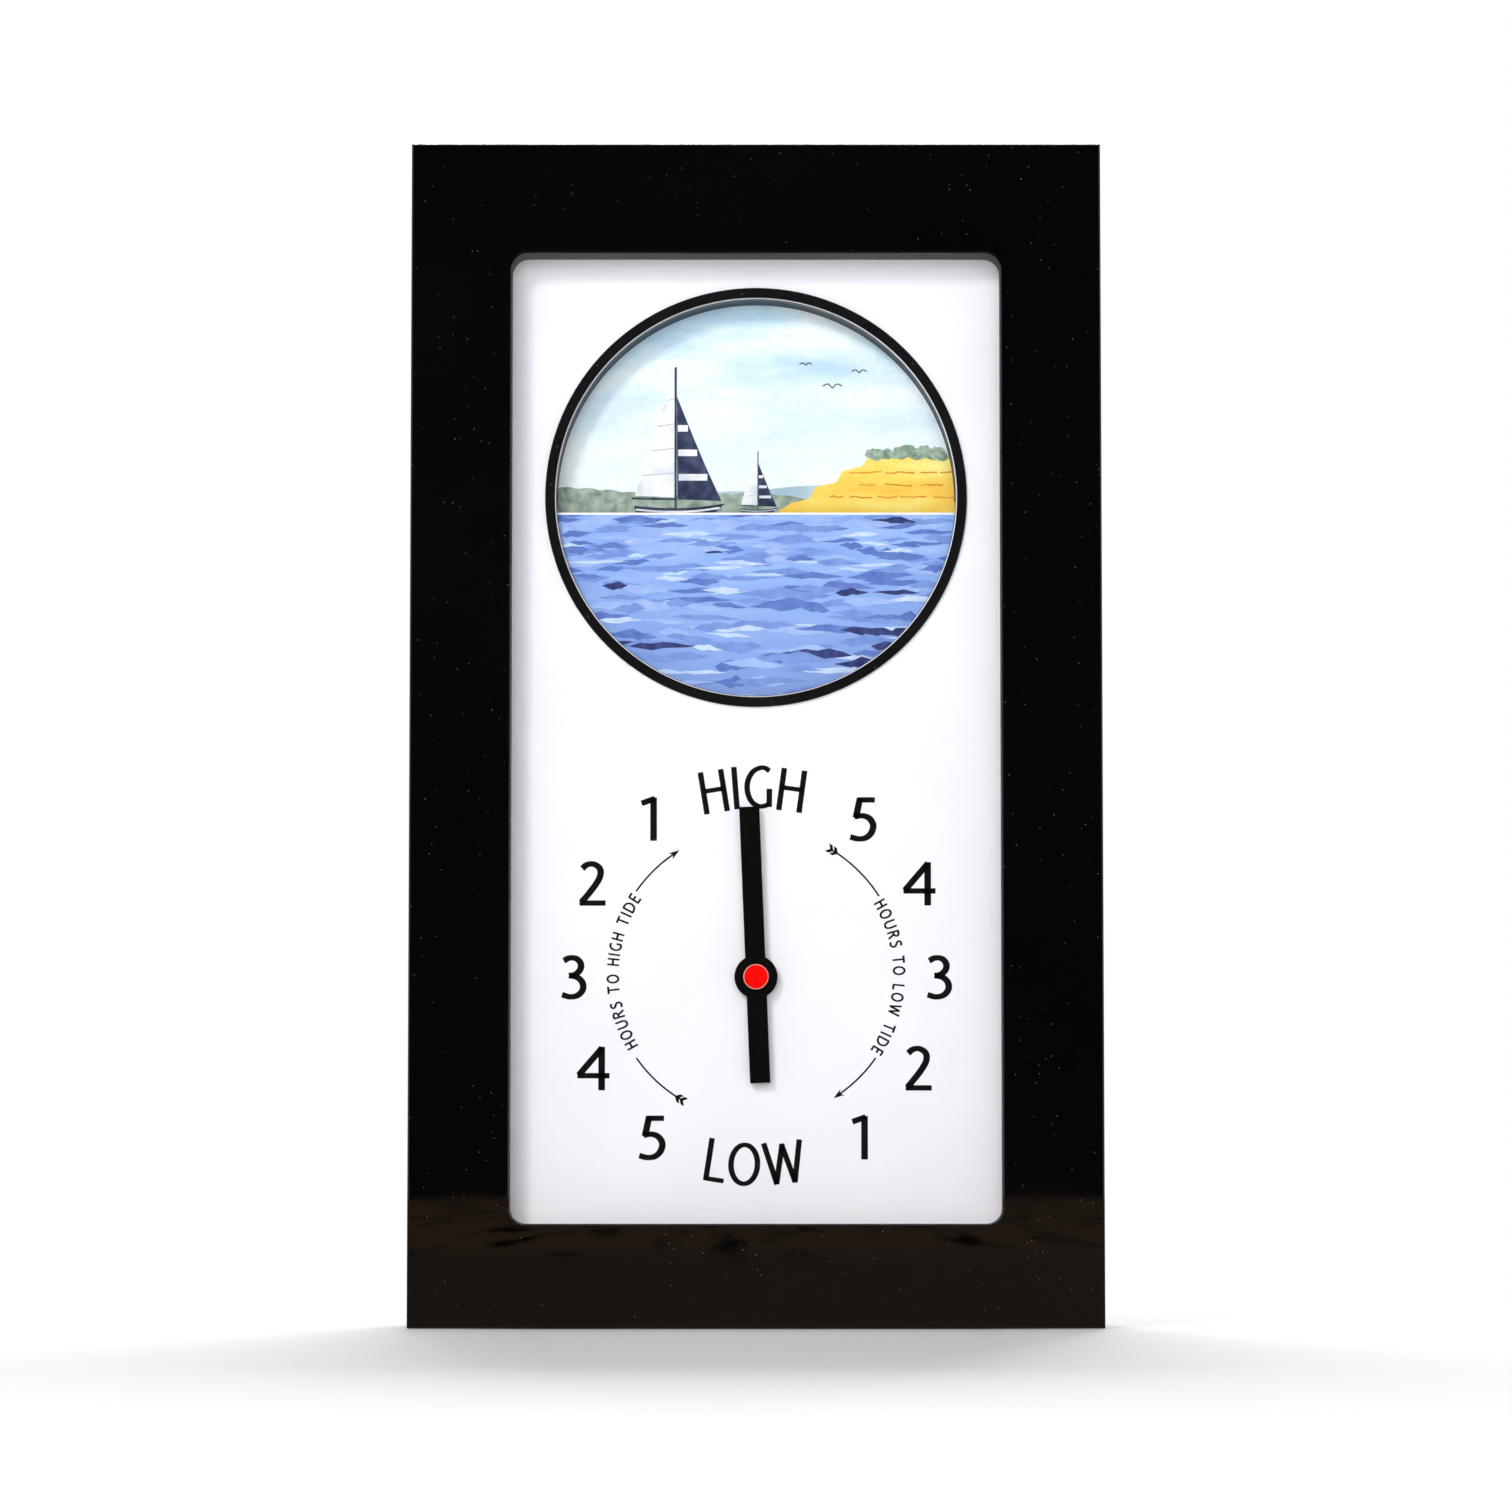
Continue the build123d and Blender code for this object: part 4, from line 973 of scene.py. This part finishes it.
def buildWorld(look):
    world = bpy.data.worlds.new("studio")
    bpy.context.scene.world = world
    world.use_nodes = True
    tree = world.node_tree
    path = addNode(tree, "LightPath")
    facing = addNode(tree, "SeparateXYZ", {"Vector": addNode(tree, "TexCoord").outputs["Generated"]}).outputs["Y"]
    mirrored = span(tree, facing, -0.75, -0.1, look["dim"], 1.0)
    light = span(tree, facing, -1.0, 1.0, look["front"], look["behind"])
    isMirror = sums(tree, "MAXIMUM", path.outputs["Is Glossy Ray"], path.outputs["Is Transmission Ray"])
    isMirror = sums(tree, "GREATER_THAN", isMirror, path.outputs["Diffuse Depth"])   # not after a matte surface
    level = sums(tree, "ADD", sums(tree, "MULTIPLY", isMirror, mirrored),
                 sums(tree, "MULTIPLY", sums(tree, "SUBTRACT", 1.0, isMirror), light))
    level = sums(tree, "MAXIMUM", level, path.outputs["Is Camera Ray"])
    tree.nodes["Background"].inputs["Color"].default_value = (1.0, 1.0, 1.0, 1.0)
    tree.links.new(level, tree.nodes["Background"].inputs["Strength"])


buildWorld(room)

# lamps: a broad key in front, a small one at the upper left that casts the hand's shadow, a weak one at the right
# and one behind for the back
lamps = [
    {"name": "key", "place": (-0.1, -1.6, 0.34), "power": 11.4, "size": 0.8, "mirrored": False},
    {"name": "high", "place": (-0.6, -1.45, 0.92), "power": 10.8, "size": 0.3, "mirrored": False},
    {"name": "right", "place": (0.5, -1.6, 0.55), "power": 1.6, "size": 0.4, "mirrored": False},
    {"name": "back", "place": (0.05, 1.3, 1.3), "power": 36.0, "size": 0.65, "mirrored": True},
]
aim = Vector((0, 0, (cadBox[0].z + cadBox[1].z) / 2))
for lamp in lamps:
    light = bpy.data.lights.new(lamp["name"], "AREA")
    light.energy = lamp["power"]
    light.size = lamp["size"]
    stand = bpy.data.objects.new(lamp["name"], light)
    stand.location = lamp["place"]
    stand.visible_glossy = stand.visible_transmission = lamp["mirrored"]
    stand.rotation_euler = (aim - Vector(lamp["place"])).to_track_quat("-Z", "Y").to_euler()
    bpy.context.scene.collection.objects.link(stand)

# camera: low and straight in front, framed as the photograph is
view = {"away": 1.3, "height": 36.0 * mm, "across": 387.0 * mm, "middle": 146.0 * mm, "shift": 0.06, "sensor": 36.0}


def buildCamera(look):
    lens = bpy.data.cameras.new("camera")
    camera = bpy.data.objects.new("camera", lens)
    face = cadBox[0].y
    camera.location = (0.0, face - look["away"], look["height"])
    target = Vector((0.0, face, look["middle"] - look["shift"] * look["across"]))
    ahead = target - camera.location
    camera.rotation_euler = ahead.to_track_quat("-Z", "Y").to_euler()
    lens.sensor_width = look["sensor"]
    lens.lens = look["sensor"] * ahead.length / look["across"]
    lens.shift_y = look["shift"]
    lens.clip_start = 0.01
    bpy.context.scene.collection.objects.link(camera)
    bpy.context.scene.camera = camera


buildCamera(view)
bpy.context.scene.view_settings.view_transform = "Standard"
print("stage: floor, light and camera set")
